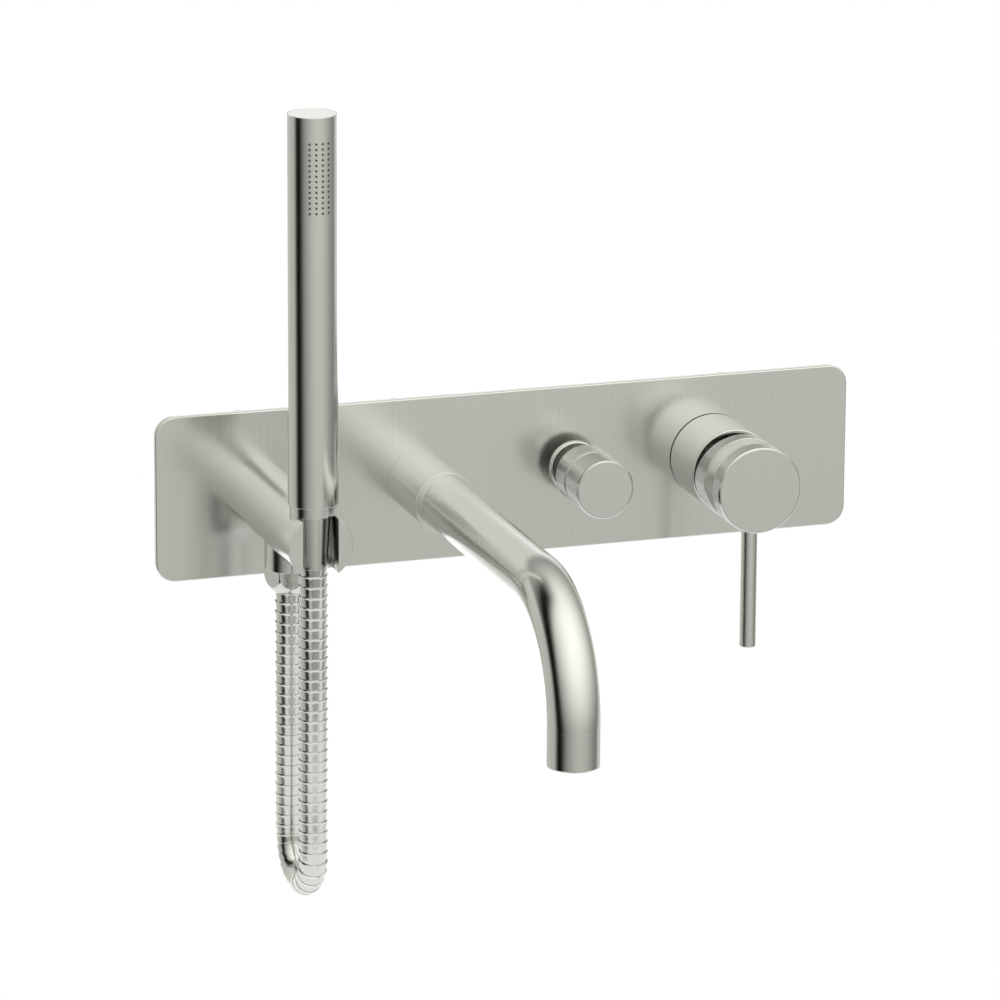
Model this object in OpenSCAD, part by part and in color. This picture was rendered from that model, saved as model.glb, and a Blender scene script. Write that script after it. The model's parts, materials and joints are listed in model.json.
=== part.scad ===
// Wall mounted bath faucet: backplate, hand shower with cradle arm and hose, bath spout,
// diverter knob and single lever mixer, on a brass body that sits inside the wall.
// Millimetres. X runs along the backplate, Z up, and the faucet projects from the wall
// towards -Y. The origin is the centre of the backplate's back face. "Out" is a distance
// from the wall face, so out = -Y, and it is negative inside the wall.

/* [Backplate] */
// Width of the backplate
plate_w = 373; // [360:1:400]
// Height of the backplate
plate_h = 86; // [80:1:100]
// Thickness of the backplate
plate_t = 4; // [3:0.5:6]
// Corner radius of the backplate
plate_corner_r = 10; // [2:1:16]
// Distance from the backplate's edge to the seal groove in its back
gasket_inset = 5; // [3:0.5:8]
// Width of the seal groove
gasket_w = 5; // [3:0.5:7]
// Depth of the seal groove and thickness of the seal
gasket_t = 1.5; // [1:0.1:2]

/* [Layout along the backplate] */
// Place of the shower arm
arm_x = -131.5; // [-140:0.5:-120]
// Place of the spout
spout_x = -48.1; // [-60:0.1:-40]
// Place of the diverter
diverter_x = 37; // [20:0.5:45]
// Place of the mixer
mixer_x = 111.6; // [105:0.1:118]

/* [Shower arm] */
// Radius of the shower arm
arm_r = 16.5; // [15:0.5:18]
// Length of the shower arm in front of the backplate
arm_len = 105.2; // [95:0.1:130]
// Distance from the arm's end back to the hand shower's axis
cradle_inset = 13.2; // [11:0.1:16]
// Free space around the hose ferrule in the cradle slot
cradle_gap = 0.7; // [0.6:0.05:1.5]
// Height of the cradle's lip above the arm's axis
lip_top = 13.9; // [12:0.1:15.5]
// Distance from the backplate to the axis of the hose outlet
outlet_setback = 50.5; // [42:0.5:60]
// Radius of the hose outlet
outlet_r = 12.6; // [11:0.1:13]
// How far the hose outlet reaches below the arm's axis
outlet_drop = 25; // [22:0.5:32]

/* [Hand shower] */
// Radius of the hand shower's tube
handset_r = 12.5; // [12:0.1:14]
// Wall of the hand shower's tube
handset_wall = 1.7; // [1.2:0.1:2]
// Length of the hand shower's tube
handset_len = 196.1; // [180:0.1:220]
// How much smaller the collar below the tube is than the tube
collar_step = 0.9; // [0.5:0.1:1.2]
// Length of the collar below the tube
collar_len = 5; // [4:0.1:8]
// Length of the collar's thread inside the tube
collar_thread_len = 6; // [5:0.1:10]
// Thickness of the collar's floor
collar_floor = 1.5; // [1:0.1:2]
// Length of the threaded socket inside the tube
socket_len = 15; // [10:1:25]
// Rows of spray nozzles
nozzle_rows = 14; // [8:1:16]
// Columns of spray nozzles
nozzle_cols = 4; // [2:1:6]
// Spacing of the rows
nozzle_pitch = 2.65; // [2:0.05:3]
// Angle between two columns
nozzle_step = 15; // [12:1:20]
// Radius of one nozzle hole
nozzle_r = 0.65; // [0.4:0.05:0.8]
// Distance from the tube's top to the first row
nozzle_top_gap = 12.8; // [10:0.1:20]
// Radius of the water tube inside the hand shower
water_tube_r = 8; // [6:0.5:8.5]
// Thickness of the hand shower's end cap
cap_t = 1.5; // [1:0.1:2.5]

/* [Hose and its fittings] */
// Radius of the hose
hose_r = 7; // [6:0.1:7.2]
// Radius of the hose ferrule at its top
ferrule_top_r = 8.5; // [8:0.05:8.8]
// Radius of the hose ferrule where the hose enters
ferrule_tip_r = 7.1; // [7:0.05:8]
// Length of the hose ferrule below its flange
ferrule_len = 29.5; // [22:0.5:34]
// Thickness of the flange on the ferrule
ferrule_flange_t = 1.2; // [0.8:0.1:1.6]
// Width across the flats of the hose nut
nut_af = 22.5; // [21.5:0.1:26]
// Angle at which the hose nut came to rest
nut_turn = -9; // [-30:1:30]
// How far the nut's corners are rounded off
nut_round = 0.25; // [0.1:0.05:0.6]
// Height of the hose nut
nut_h = 12; // [10:0.5:16]
// Thickness of the hose nut's floor
nut_floor = 1.5; // [1:0.1:2]
// Radius of the threaded outlet stub
stub_r = 9.4; // [9:0.1:9.6]
// Wall of the threaded outlet stub
stub_wall = 3.4; // [2:0.1:4]
// Depth of the stub inside the outlet
stub_depth = 12; // [8:0.5:16]
// Thickness of the flat washers
washer_t = 1.5; // [1:0.1:2]

/* [Spout] */
// Radius of the spout's sleeve
spout_sleeve_r = 15.8; // [15:0.1:18]
// Length of the spout's sleeve
spout_sleeve_len = 45.8; // [35:0.1:60]
// Radius of the spout
spout_r = 13.6; // [13.2:0.1:15]
// Distance from the wall to the axis of the spout's outlet
spout_reach = 249.2; // [235:0.1:270]
// Radius of the spout's bend along its middle
spout_bend_r = 56; // [45:0.1:60]
// Wall of the spout
spout_wall = 3; // [2:0.1:3.5]
// Radius of the spout's outlet end
tip_r = 13.3; // [13:0.1:15]
// How far the outlet's lip lies below the sleeve's axis
tip_drop = 77; // [72:0.5:90]
// Height of the aerator housing
aerator_h = 19; // [16:0.5:22]
// Height of the aerator housing's threaded neck
aerator_neck_h = 8; // [6:0.5:10]
// Wall of the threaded neck
aerator_neck_wall = 1.2; // [0.8:0.1:1.5]
// Width of the lip that holds the aerator
aerator_lip = 1; // [0.6:0.1:2]
// Rounding of the outlet's edge
lip_round = 1; // [0.4:0.1:1.5]
// Height of the aerator insert
aerator_insert_h = 10; // [6:0.5:12]
// Radius of one hole in the aerator insert
aerator_hole_r = 0.9; // [0.5:0.1:1.1]

/* [Diverter] */
// Radius of the diverter spindle
spindle_r = 6; // [5.8:0.1:7]
// Wall of the bonnet around the spindle
bonnet_wall = 4.3; // [3:0.1:5]
// Width of the collar's rim on the backplate
diverter_collar_w = 3.1; // [2:0.1:5]
// Thickness of the collar on the backplate
diverter_collar_t = 2; // [1:0.5:4]
// Free length between the collar and the knob
diverter_gap = 11.7; // [6:0.1:14]
// Radius of the diverter knob
diverter_knob_r = 15.35; // [14:0.05:18]
// Length of the diverter knob
diverter_knob_len = 33.8; // [30:0.1:40]
// Distance from the knob's back to its groove
diverter_groove_at = 13.8; // [10:0.1:16]
// Width of the groove
diverter_groove_w = 2; // [1:0.1:3]
// Depth of the groove
diverter_groove_depth = 0.6; // [0.3:0.1:1]
// Length of the square drive on the spindle
drive_len = 20; // [14:0.5:22]

/* [Mixer] */
// Radius of the mixer cartridge
cartridge_r = 17.5; // [16.5:0.1:20]
// Length of the cartridge behind its retaining nut
cartridge_root = 38; // [34:0.5:40]
// Depth of the neck's end inside the sleeve
neck_setback = 16; // [14:0.5:18]
// Thickness of the cartridge's ceramic discs
disc_t = 3; // [2:0.5:4]
// Wall of the brass neck around the cartridge
neck_wall = 2.4; // [2:0.1:3]
// Free space between the neck and the sleeve
sleeve_clear = 0.6; // [0.5:0.1:1]
// Wall of the mixer sleeve
sleeve_wall = 1.8; // [1.4:0.1:3]
// Length of the mixer sleeve
sleeve_len = 34; // [32:0.5:40]
// Free gap between the sleeve and the lower half of the knob
knob_gap = 3; // [2.5:0.1:5]
// How much larger the mixer knob is than its sleeve
knob_step = 0.1; // [0:0.1:2]
// Length of the rear grip band
rear_band = 14.5; // [13.5:0.1:18]
// Length of the smooth middle band
smooth_band = 11; // [10:0.1:14]
// Length of the front grip band
front_band = 9.3; // [8:0.1:14]
// Depth of the smooth band below the grip bands
band_step = 0.4; // [0.2:0.1:1]
// Angle of the cut that clears the sleeve when the lever is lifted
relief_angle = 16; // [14:1:22]
// Radius of the hollow in the knob's back
knob_pocket_r = 16; // [15:0.1:17]
// Radius of the lever
lever_r = 4.3; // [3.6:0.1:4.6]
// How far the lever reaches below the mixer's axis
lever_reach = 86.4; // [60:0.1:110]
// Radius of the lever's threaded end
lever_thread_r = 2.9; // [2.4:0.1:3.2]
// Radius of the cartridge's turning core
core_r = 11.8; // [11:0.1:12.2]
// Width of the square stem
stem_w = 8; // [6:0.5:8]
// Radius of the stem's pivot pin
pivot_pin_r = 2; // [1.5:0.1:2.5]
// Thickness of the cartridge's seal
seal_t = 2; // [1.5:0.1:2.5]
// Thickness of the knobs' face discs
face_t = 1.5; // [1:0.1:2]
// Chamfer around the knobs' faces
face_chamfer = 0.8; // [0.4:0.1:1.2]

/* [Body inside the wall] */
// Depth of the body's front behind the wall face
body_front_depth = 8; // [4:0.5:9]
// Depth of the body's back behind the wall face
body_back_depth = 58; // [56:0.5:70]
// Space between the rail and the channel that feeds the hand shower
feed_clear = 2; // [1:0.5:4]
// Wall between the channels that feed the hand shower and the spout
feed_wall = 6; // [4:0.5:6]
// Radius of the channels' walls
channel_r = 9; // [8:0.1:10]
// Radius of the channels' bores
channel_bore_r = 5.5; // [4:0.1:6]
// Wall of the mixer chamber outside its neck
chamber_step = 4; // [3:0.1:6]
// Radius of the nipples that carry the arm and the spout
nipple_r = 10; // [9:0.1:10.2]
// Wall of the nipples
nipple_wall = 3.5; // [2.5:0.1:4]
// Wall of the body around the nipples
port_wall = 2.9; // [2:0.1:4]
// Length of a nipple inside the body
nipple_root = 14; // [10:0.5:16]
// Spacing of the hot and the cold inlet
inlet_spacing = 76; // [76:1:90]
// Radius of the inlets' threads, half inch pipe
inlet_thread_r = 10.48; // [8.3:0.01:13.2]
// Length of the inlets' threads
inlet_thread_len = 18; // [12:0.5:22]
// Radius of the inlet legs
inlet_leg_r = 12; // [11.5:0.1:14]
// How far the inlet legs reach below the axis
inlet_leg_drop = 24; // [20:0.5:30]
// Height of the hexagons on the inlets
inlet_hex_h = 8; // [5:0.5:12]
// Length of the mounting rail
rail_w = 302; // [300:1:330]
// Height of the mounting rail
rail_h = 44; // [44:1:60]
// Thickness of the mounting rail
rail_t = 3; // [2.5:0.5:5]
// Distance from the rail's ends to its fixing holes
rail_hole_inset = 10; // [8:0.5:10]
// Distance between the upper and the lower fixing holes
rail_hole_rise = 30; // [30:1:32]
// Radius of the rail's fixing holes
rail_hole_r = 3.25; // [2.5:0.05:3.5]
// Radius of the screws that hold the body to the rail
rail_screw_r = 2.5; // [2:0.1:3]
// Radius of the flush plugs
plug_r = 2.25; // [2:0.05:3]
// Height of the flush plugs' tops above the axis
plug_top = 32.8; // [30:0.1:34]
// Depth of the flush plugs behind the wall face
plug_depth = 36; // [34:0.5:36]
// Place of the flush plug beside the mixer, from the mixer's axis
mixer_plug_x = 19.9; // [15:0.1:20]

/* [Fits] */
// Space between pieces that move apart
fit_gap = 0.3; // [0.25:0.01:0.4]
// Radial clearance of a turning fit
run_gap = 0.05; // [0.02:0.01:0.08]
// Clearance of pieces that are assembled and stay put
slip_gap = 0.1; // [0.05:0.01:0.15]
// Radius of the section of the O-rings
o_ring_r = 0.9; // [0.7:0.1:1]

/* [Hidden] */
$fn = 96;

// Lengths by which a cutting shape runs past the solid that it cuts
over = 1;

// Shower arm and cradle
arm_end = plate_t + arm_len;
handset_out = arm_end - cradle_inset;
outlet_out = plate_t + outlet_setback;
cradle_r = ferrule_top_r + cradle_gap;
nipple_front = 26;
arm_nipple_end = plate_t + nipple_front;
waterway_r = nipple_r - nipple_wall;
o_ring_at = plate_t + 8;
nipple_bore_r = nipple_r + slip_gap;

// Hand shower, from the cradle's lip upwards; its collar stands on the lip
collar_r = handset_r - collar_step;
collar_z = lip_top + fit_gap;
tube_z = collar_z + collar_len;
handset_top = tube_z + handset_len;
handset_bore_r = handset_r - handset_wall;
collar_thread_r = handset_bore_r - slip_gap;
collar_top = tube_z + collar_thread_len;
flange_z = collar_z + collar_floor + fit_gap;
flange_top = flange_z + ferrule_flange_t;
flange_r = ferrule_top_r + 1.05;
collar_bore_r = flange_r + fit_gap;
ferrule_bore_r = 4.5;
ferrule_tip_z = flange_z - ferrule_len;
socket_z = flange_top + washer_t + fit_gap;
socket_top = collar_top + socket_len;
socket_r = collar_bore_r - slip_gap;
water_tube_wall = 1.2;
water_tube_seat = 4;
nozzle_top_z = handset_top - nozzle_top_gap;
nozzle_bottom_z = nozzle_top_z - (nozzle_rows - 1) * nozzle_pitch;
liner_margin = 5;
liner_wall = 1;
liner_floor = 2;
liner_r = handset_bore_r - slip_gap;
liner_z = nozzle_bottom_z - liner_margin - liner_floor;
liner_top = nozzle_top_z + liner_margin;
nozzle_sunk = 0.2;
cap_rim = 0.5;
cap_r = handset_r - cap_rim - slip_gap;
cap_plug_len = 5;

// Hose fittings below the outlet, from the nut's floor upwards
nut_z = -outlet_drop - nut_h;
tail_flange_t = 1.5;
tail_z = nut_z + nut_floor;
hose_washer_z = tail_z + tail_flange_t;
stub_z = hose_washer_z + washer_t;
stub_top = -outlet_drop + stub_depth;
stub_bore_r = stub_r - stub_wall;
nut_corner_r = nut_af / sqrt(3);
nut_dome_r = nut_corner_r - nut_round;
nut_dome_z = nut_z + 0.8 * nut_h;
valve_len = 10;

// Route of the hose as [Y, Z] in the plane of the arm, from the nut to the ferrule
hose_route = [[-54.5, -37], [-54.5, -60], [-54, -85], [-54, -110], [-53.5, -135], [-53.5, -163],
    [-55, -171], [-59.5, -177.5], [-66, -182], [-74, -183.5], [-82, -182], [-88.5, -177.5],
    [-93, -171], [-94.5, -163], [-94.5, -135], [-95, -110], [-95.5, -80], [-95.5, -50],
    [-96, -25], [-96, -13.5]];
hose_sides = 12;

// Spout
spout_joint = plate_t + spout_sleeve_len;
spout_nipple_end = spout_joint + 10;
spout_bend_out = spout_reach - spout_bend_r;
spout_straight = spout_bend_out - spout_joint;
tip_joint_z = -tip_drop + aerator_h;
neck_r_aerator = tip_r - 2.1;
neck_top_z = tip_joint_z + aerator_neck_h;
aerator_bore_r = neck_r_aerator - aerator_neck_wall;
aerator_floor = 2;
insert_z = -tip_drop + aerator_floor;
insert_r = aerator_bore_r - slip_gap;
aerator_washer_z = insert_z + aerator_insert_h;
spout_sides = 32;
straight_rings = 14;
bend_rings = 16;

// Diverter
bonnet_bore_r = spindle_r + run_gap;
bonnet_r = bonnet_bore_r + bonnet_wall;
diverter_cart_r = bonnet_r + 1.2;
diverter_bore_r = diverter_cart_r + slip_gap;
diverter_chamber_r = diverter_bore_r + 3.3;
diverter_collar_r = bonnet_r + slip_gap + diverter_collar_w;
diverter_collar_end = plate_t + diverter_collar_t;
knob_back = diverter_collar_end + diverter_gap;
knob_front = knob_back + diverter_knob_len;
knob_face = knob_front - face_t;
bonnet_end = knob_back - 0.7;
bonnet_root = 16;
bonnet_seat = -body_front_depth - bonnet_root;
bonnet_shoulder = -body_front_depth - 1;
chamber_floor_t = 6;
diverter_floor = -body_back_depth + chamber_floor_t;
diverter_cart_z = diverter_floor + 2;
spindle_z = bonnet_seat - 14;
drive_w = 8;
drive_start = knob_back + 1;
drive_end = drive_start + drive_len;
spindle_mouth_r = spindle_r + fit_gap;
screw_r = 2.4;
screw_len = 14;
screw_head_r = 4.5;
screw_head_h = 3;
screw_seat = drive_end + 2;
diverter_face_r = diverter_knob_r - face_chamfer;

// Mixer: the sleeve and the knob are built up from the cartridge
neck_r = cartridge_r + slip_gap + neck_wall;
sleeve_bore_r = neck_r + sleeve_clear;
sleeve_r = sleeve_bore_r + sleeve_wall;
sleeve_end = plate_t + sleeve_len;
sleeve_foot = 0.6;
sleeve_foot_step = 0.5;
sleeve_chamfer = 0.5;
mixer_chamber_r = neck_r + chamber_step;
neck_end = sleeve_end - neck_setback;
nut_len = 10;
nut_sunk = 8;
nut_seat = neck_end - nut_sunk;
nut_top = nut_seat + nut_len;
cartridge_top = neck_end + 8;
cartridge_step_r = core_r + run_gap + 1.85;
core_seat = 10;
cartridge_floor = nut_seat - core_seat;
cartridge_z = nut_seat - cartridge_root;
pocket_floor = cartridge_z - seal_t;
seal_w = 3;
disc_r = core_r - fit_gap;
disc_port_x = 6.5;
disc_port_z = 6;
disc_port_r = 2.5;
moving_disc_z = cartridge_floor + disc_t + run_gap;
core_z = moving_disc_z + disc_t;
pivot_out = sleeve_end + 2;
core_end = pivot_out - 4;
eye_r = pivot_pin_r + 3;
ear_end = pivot_out + eye_r;
fork_gap = stem_w / 2 + fit_gap;
tongue_len = 18;
tongue_w = 6;
fork_floor = pivot_out - tongue_len - 4;
knob_r = sleeve_r + knob_step;
knob_z = sleeve_end + knob_gap;
smooth_z = knob_z + rear_band;
front_z = smooth_z + smooth_band;
knob_end = front_z + front_band + face_chamfer;
knob_face_r = knob_r - face_chamfer;
pocket_end = knob_z + 13;
stem_end = pocket_end + 10;
front_pocket_z = front_z + 1;
front_pocket_r = knob_face_r - 3;
lever_out = knob_z + 20.7;
lever_seat = knob_r - 2.5;
lever_round = 0.6;
pin_half = core_r - 1.3;
socket_w = stem_w + 2 * slip_gap;

// Body inside the wall
port_r = nipple_bore_r + port_wall;
inlet_depth = body_back_depth - inlet_leg_r;
arm_feed_depth = body_back_depth - channel_r - feed_clear;
spout_feed_depth = arm_feed_depth - 2 * channel_bore_r - feed_wall;
mixed_feed_depth = (arm_feed_depth + spout_feed_depth) / 2;
inlet_leg_top = channel_r + 3;
cartridge_port_x = 10;
cartridge_port_r = 3;
plug_boss_r = plug_r + 2;
plug_boss_top = plug_top - 4;
plug_root = 18;
inlet_bore_r = 6.5;
inlet_spigot_r = 8.9;
inlet_spigot_len = 10;
inlet_hex_r = 1.15 * inlet_leg_r;
rail_screw_len = 12;
rail_screw_head = 2.1;
mixer_screw_z = 17;
PLUGS_X = [arm_x, spout_x, mixer_x + mixer_plug_x];
RAIL_SCREWS = [[arm_x, 0], [spout_x, 0], [mixer_x, mixer_screw_z], [mixer_x, -mixer_screw_z]];
INLETS_X = [mixer_x - inlet_spacing / 2, mixer_x + inlet_spacing / 2];

// ---- Shapes that several pieces share ----

// Solid turned about an axis that leaves the wall at x; points are [radius, out]
module turned_out(x, points) {
    translate([x, 0, 0]) rotate([90, 0, 0]) rotate_extrude() polygon(points);
}

// Plain tube about the same axis
module tube_out(x, r, bore_r, from, to) {
    turned_out(x, [[bore_r, from], [r, from], [r, to], [bore_r, to]]);
}

// Round bar about the same axis, at a height z
module bar_out(x, r, from, to, z = 0) {
    translate([x, -from, z]) rotate([90, 0, 0]) cylinder(r = r, h = to - from);
}

// Square bar about the same axis
module square_bar_out(x, w, from, to) {
    translate([x - w / 2, -to, -w / 2]) cube([w, to - from, w]);
}

// O-ring about the same axis, out to radius r
module o_ring_out(x, r, at) {
    translate([x, -at, 0]) rotate([90, 0, 0]) rotate_extrude()
        translate([r - o_ring_r, 0]) circle(r = o_ring_r, $fn = 32);
}

// Groove for that O-ring in a bar
module o_ring_groove(x, r, at) {
    tube_out(x, r + over, r - 2 * o_ring_r - slip_gap, at - o_ring_r - slip_gap, at + o_ring_r + slip_gap);
}

// Solid turned about a vertical axis; points are [radius, height]
module turned_up(x, out, points) {
    translate([x, -out, 0]) rotate_extrude() polygon(points);
}

// Plain tube about a vertical axis
module tube_up(x, out, r, bore_r, from, to) {
    turned_up(x, out, [[bore_r, from], [r, from], [r, to], [bore_r, to]]);
}

// Round bar about a vertical axis
module bar_up(x, out, r, from, to) {
    translate([x, -out, from]) cylinder(r = r, h = to - from);
}

// Round bar along X at a depth behind the wall face
module bar_across(depth, r, from, to) {
    translate([from, depth, 0]) rotate([0, 90, 0]) cylinder(r = r, h = to - from);
}

// One ring of a swept tube whose heading dips by an angle below level
function ring(x, out, z, dip, half_w, half_t, sides) = [
    for (k = [0 : sides - 1])
        let (turn = 360 * k / sides, lift = half_t * sin(turn))
            [x + half_w * cos(turn), -(out + lift * sin(dip)), z + lift * cos(dip)]];

// The two triangles of each side between ring i and ring j
function band(i, j, sides) = [
    for (k = [0 : sides - 1])
        let (a = i * sides, b = j * sides, next = (k + 1) % sides)
            each [[a + k, b + k, b + next], [a + k, b + next, a + next]]];

// Solid through rings, closed by a flat end at each side
module swept_solid(rings, sides) {
    last = len(rings) - 1;
    sides_faces = [for (i = [0 : last - 1]) each band(i, i + 1, sides)];
    start = [for (k = [0 : sides - 1]) k];
    end = [for (k = [sides - 1 : -1 : 0]) last * sides + k];
    polyhedron([for (one = rings) each one], concat(sides_faces, [start, end]));
}

// Hollow solid through rings that lead along the outside and back along the inside
module swept_shell(rings, sides) {
    count = len(rings);
    polyhedron([for (one = rings) each one],
        [for (i = [0 : count - 1]) each band(i, (i + 1) % count, sides)]);
}

// ---- Backplate ----

module rounded_outline(w, h, r) {
    square([w - 2 * r, h], center = true);
    square([w, h - 2 * r], center = true);
    for (side = [-1, 1], level = [-1, 1])
        translate([side * (w / 2 - r), level * (h / 2 - r)]) circle(r = r);
}

module plate_outline(inset) {
    rounded_outline(plate_w - 2 * inset, plate_h - 2 * inset, max(plate_corner_r - inset, 1));
}

// Band of the seal, narrowed by a clearance on both edges
module seal_band(clearance) {
    rotate([90, 0, 0]) linear_extrude(gasket_t) difference() {
        plate_outline(gasket_inset + clearance);
        plate_outline(gasket_inset + gasket_w - clearance);
    }
}

module backplate() {
    color("silver") difference() {
        rotate([90, 0, 0]) linear_extrude(plate_t) plate_outline(0);
        seal_band(0);
        for (x = [arm_x, spout_x]) bar_out(x, nipple_r + 0.5, -over, plate_t + over);
        bar_out(diverter_x, bonnet_r + 0.5, -over, plate_t + over);
        bar_out(mixer_x, neck_r + 0.5, -over, plate_t + over);
    }
}

module plate_seal() {
    color("dimgray") seal_band(slip_gap);
}

// ---- Body inside the wall ----

module valve_body() {
    color("goldenrod") difference() {
        union() {
            bar_out(mixer_x, mixer_chamber_r, -body_back_depth, -body_front_depth);
            bar_out(mixer_x, neck_r, -body_front_depth - over, neck_end);
            bar_out(diverter_x, diverter_chamber_r, -body_back_depth, -body_front_depth);
            for (x = [arm_x, spout_x]) bar_out(x, port_r, -body_back_depth, -body_front_depth);
            bar_across(spout_feed_depth, channel_r, spout_x, diverter_x);
            bar_across(arm_feed_depth, channel_r, arm_x, diverter_x);
            bar_across(mixed_feed_depth, channel_r, diverter_x, mixer_x);
            bar_across(inlet_depth, channel_r, INLETS_X[0], INLETS_X[1]);
            for (x = INLETS_X) bar_up(x, -inlet_depth, inlet_leg_r, -inlet_leg_drop, inlet_leg_top);
            for (x = PLUGS_X) bar_up(x, -plug_depth, plug_boss_r, 0, plug_boss_top);
        }
        // Pocket of the cartridge, its two inlets and its outlet
        bar_out(mixer_x, cartridge_r + slip_gap, pocket_floor, neck_end + over);
        o_ring_groove(mixer_x, sleeve_bore_r, o_ring_at);
        for (side = [-1, 1])
            bar_out(mixer_x + side * cartridge_port_x, cartridge_port_r, -inlet_depth,
                pocket_floor + over);
        bar_across(inlet_depth, inlet_bore_r - 1, INLETS_X[0], mixer_x - 2 * cartridge_port_r);
        bar_across(inlet_depth, inlet_bore_r - 1, mixer_x + 2 * cartridge_port_r, INLETS_X[1]);
        bar_out(mixer_x, cartridge_port_r + 0.5, -mixed_feed_depth, pocket_floor + over,
            channel_bore_r - 0.5);
        // Chamber of the diverter and the three channels that meet it
        bar_out(diverter_x, diverter_bore_r, diverter_floor, over);
        bar_across(mixed_feed_depth, channel_bore_r - 1, diverter_x, mixer_x + cartridge_port_r);
        bar_across(spout_feed_depth, channel_bore_r, spout_x, diverter_x);
        bar_across(arm_feed_depth, channel_bore_r, arm_x, diverter_x);
        // Ports of the arm and the spout
        for (x = [arm_x, spout_x])
            bar_out(x, nipple_bore_r, -body_front_depth - nipple_root, over);
        bar_out(spout_x, waterway_r, -spout_feed_depth, 0);
        bar_out(arm_x, waterway_r, -arm_feed_depth, 0);
        // Inlet legs, flush plugs and the screws of the rail
        for (x = INLETS_X) {
            bar_up(x, -inlet_depth, inlet_spigot_r + slip_gap, -inlet_leg_drop - over,
                -inlet_leg_drop + inlet_spigot_len);
            bar_up(x, -inlet_depth, inlet_bore_r, -inlet_leg_drop, 0);
        }
        for (x = PLUGS_X)
            bar_up(x, -plug_depth, plug_r + slip_gap, plug_top - plug_root, plug_top);
        for (place = RAIL_SCREWS)
            bar_out(place[0], rail_screw_r + slip_gap, -body_back_depth - over,
                -body_back_depth + rail_screw_len - rail_t + over, place[1]);
    }
}

module inlet_union(x) {
    hex_top = -inlet_leg_drop;
    thread_top = hex_top - inlet_hex_h;
    difference() {
        union() {
            bar_up(x, -inlet_depth, inlet_spigot_r, hex_top, hex_top + inlet_spigot_len);
            translate([x, inlet_depth, thread_top])
                cylinder(r = inlet_hex_r, h = inlet_hex_h, $fn = 6);
            bar_up(x, -inlet_depth, inlet_thread_r, thread_top - inlet_thread_len, thread_top);
        }
        bar_up(x, -inlet_depth, inlet_bore_r, thread_top - inlet_thread_len - over,
            hex_top + inlet_spigot_len + over);
    }
}

module hot_inlet() {
    color("firebrick") inlet_union(INLETS_X[0]);
}

module cold_inlet() {
    color("steelblue") inlet_union(INLETS_X[1]);
}

module mounting_rail() {
    color("lightslategray") difference() {
        translate([-rail_w / 2, body_back_depth, -rail_h / 2]) cube([rail_w, rail_t, rail_h]);
        for (side = [-1, 1], level = [-1, 1])
            bar_out(side * (rail_w / 2 - rail_hole_inset), rail_hole_r,
                -body_back_depth - rail_t - over, -body_back_depth + over,
                level * rail_hole_rise / 2);
        for (place = RAIL_SCREWS) translate([0, 0, place[1]]) rail_screw(place[0], slip_gap);
    }
}

// Countersunk screw, its head flush with the rail's back; grown by a clearance
module rail_screw(x, clearance) {
    back = -body_back_depth - rail_t;
    shank = rail_screw_r + clearance;
    head = rail_screw_r + rail_screw_head + clearance;
    turned_out(x, [[0, back], [head, back], [shank, back + rail_screw_head],
        [shank, back + rail_screw_len], [0, back + rail_screw_len]]);
}

module rail_screws() {
    color("gray") for (place = RAIL_SCREWS)
        translate([0, 0, place[1]]) rail_screw(place[0], 0);
}

module flush_plugs() {
    color("darkgoldenrod") for (x = PLUGS_X)
        bar_up(x, -plug_depth, plug_r, plug_top - plug_root, plug_top);
}

// ---- Shower arm ----

// Threaded tube that carries a sleeve or an arm in front of the wall
module nipple(x, front) {
    difference() {
        tube_out(x, nipple_r, waterway_r, -body_front_depth - nipple_root, front);
        o_ring_groove(x, nipple_bore_r, o_ring_at);
    }
}

module arm_nipple() {
    color("goldenrod") nipple(arm_x, arm_nipple_end);
}

module arm_o_ring() {
    color("black") o_ring_out(arm_x, nipple_bore_r, o_ring_at);
}

// Slot that the hand shower drops into: round at the back, open at the arm's end
module cradle_cut() {
    height = 4 * arm_r;
    translate([arm_x, -handset_out, -height / 2]) linear_extrude(height) {
        circle(r = cradle_r);
        translate([-cradle_r, -cradle_inset - over]) square([2 * cradle_r, cradle_inset + over]);
    }
}

module holder_arm() {
    color("silver") difference() {
        union() {
            bar_out(arm_x, arm_r, plate_t, arm_end);
            bar_up(arm_x, outlet_out, outlet_r, -outlet_drop, 0);
            bar_up(arm_x, handset_out, collar_r, 0, lip_top);
        }
        bar_out(arm_x, nipple_bore_r, plate_t - over, arm_nipple_end + slip_gap);
        bar_out(arm_x, waterway_r, plate_t, outlet_out);
        bar_up(arm_x, outlet_out, waterway_r - 0.5, -outlet_drop, 0);
        bar_up(arm_x, outlet_out, stub_r + slip_gap, -outlet_drop - over, stub_top);
        bar_up(arm_x, handset_out, collar_r + fit_gap, lip_top, arm_r + over);
        cradle_cut();
    }
}

module outlet_stub() {
    color("goldenrod") tube_up(arm_x, outlet_out, stub_r, stub_bore_r, stub_z, stub_top);
}

module check_valve() {
    color("white") tube_up(arm_x, outlet_out, stub_bore_r - slip_gap, 2.5,
        stub_top - valve_len, stub_top);
}

module hose_nut() {
    color("silver") difference() {
        intersection() {
            translate([arm_x, -outlet_out, nut_z]) rotate(nut_turn)
                cylinder(r = nut_corner_r, h = nut_h, $fn = 6);
            translate([arm_x, -outlet_out, nut_dome_z]) sphere(r = nut_dome_r);
        }
        bar_up(arm_x, outlet_out, stub_r + slip_gap, tail_z, -outlet_drop + over);
        bar_up(arm_x, outlet_out, hose_r + 0.2, nut_z - over, tail_z + over);
    }
}

module hose_washer() {
    color("black") tube_up(arm_x, outlet_out, stub_r - slip_gap, 5, hose_washer_z, stub_z);
}

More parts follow.
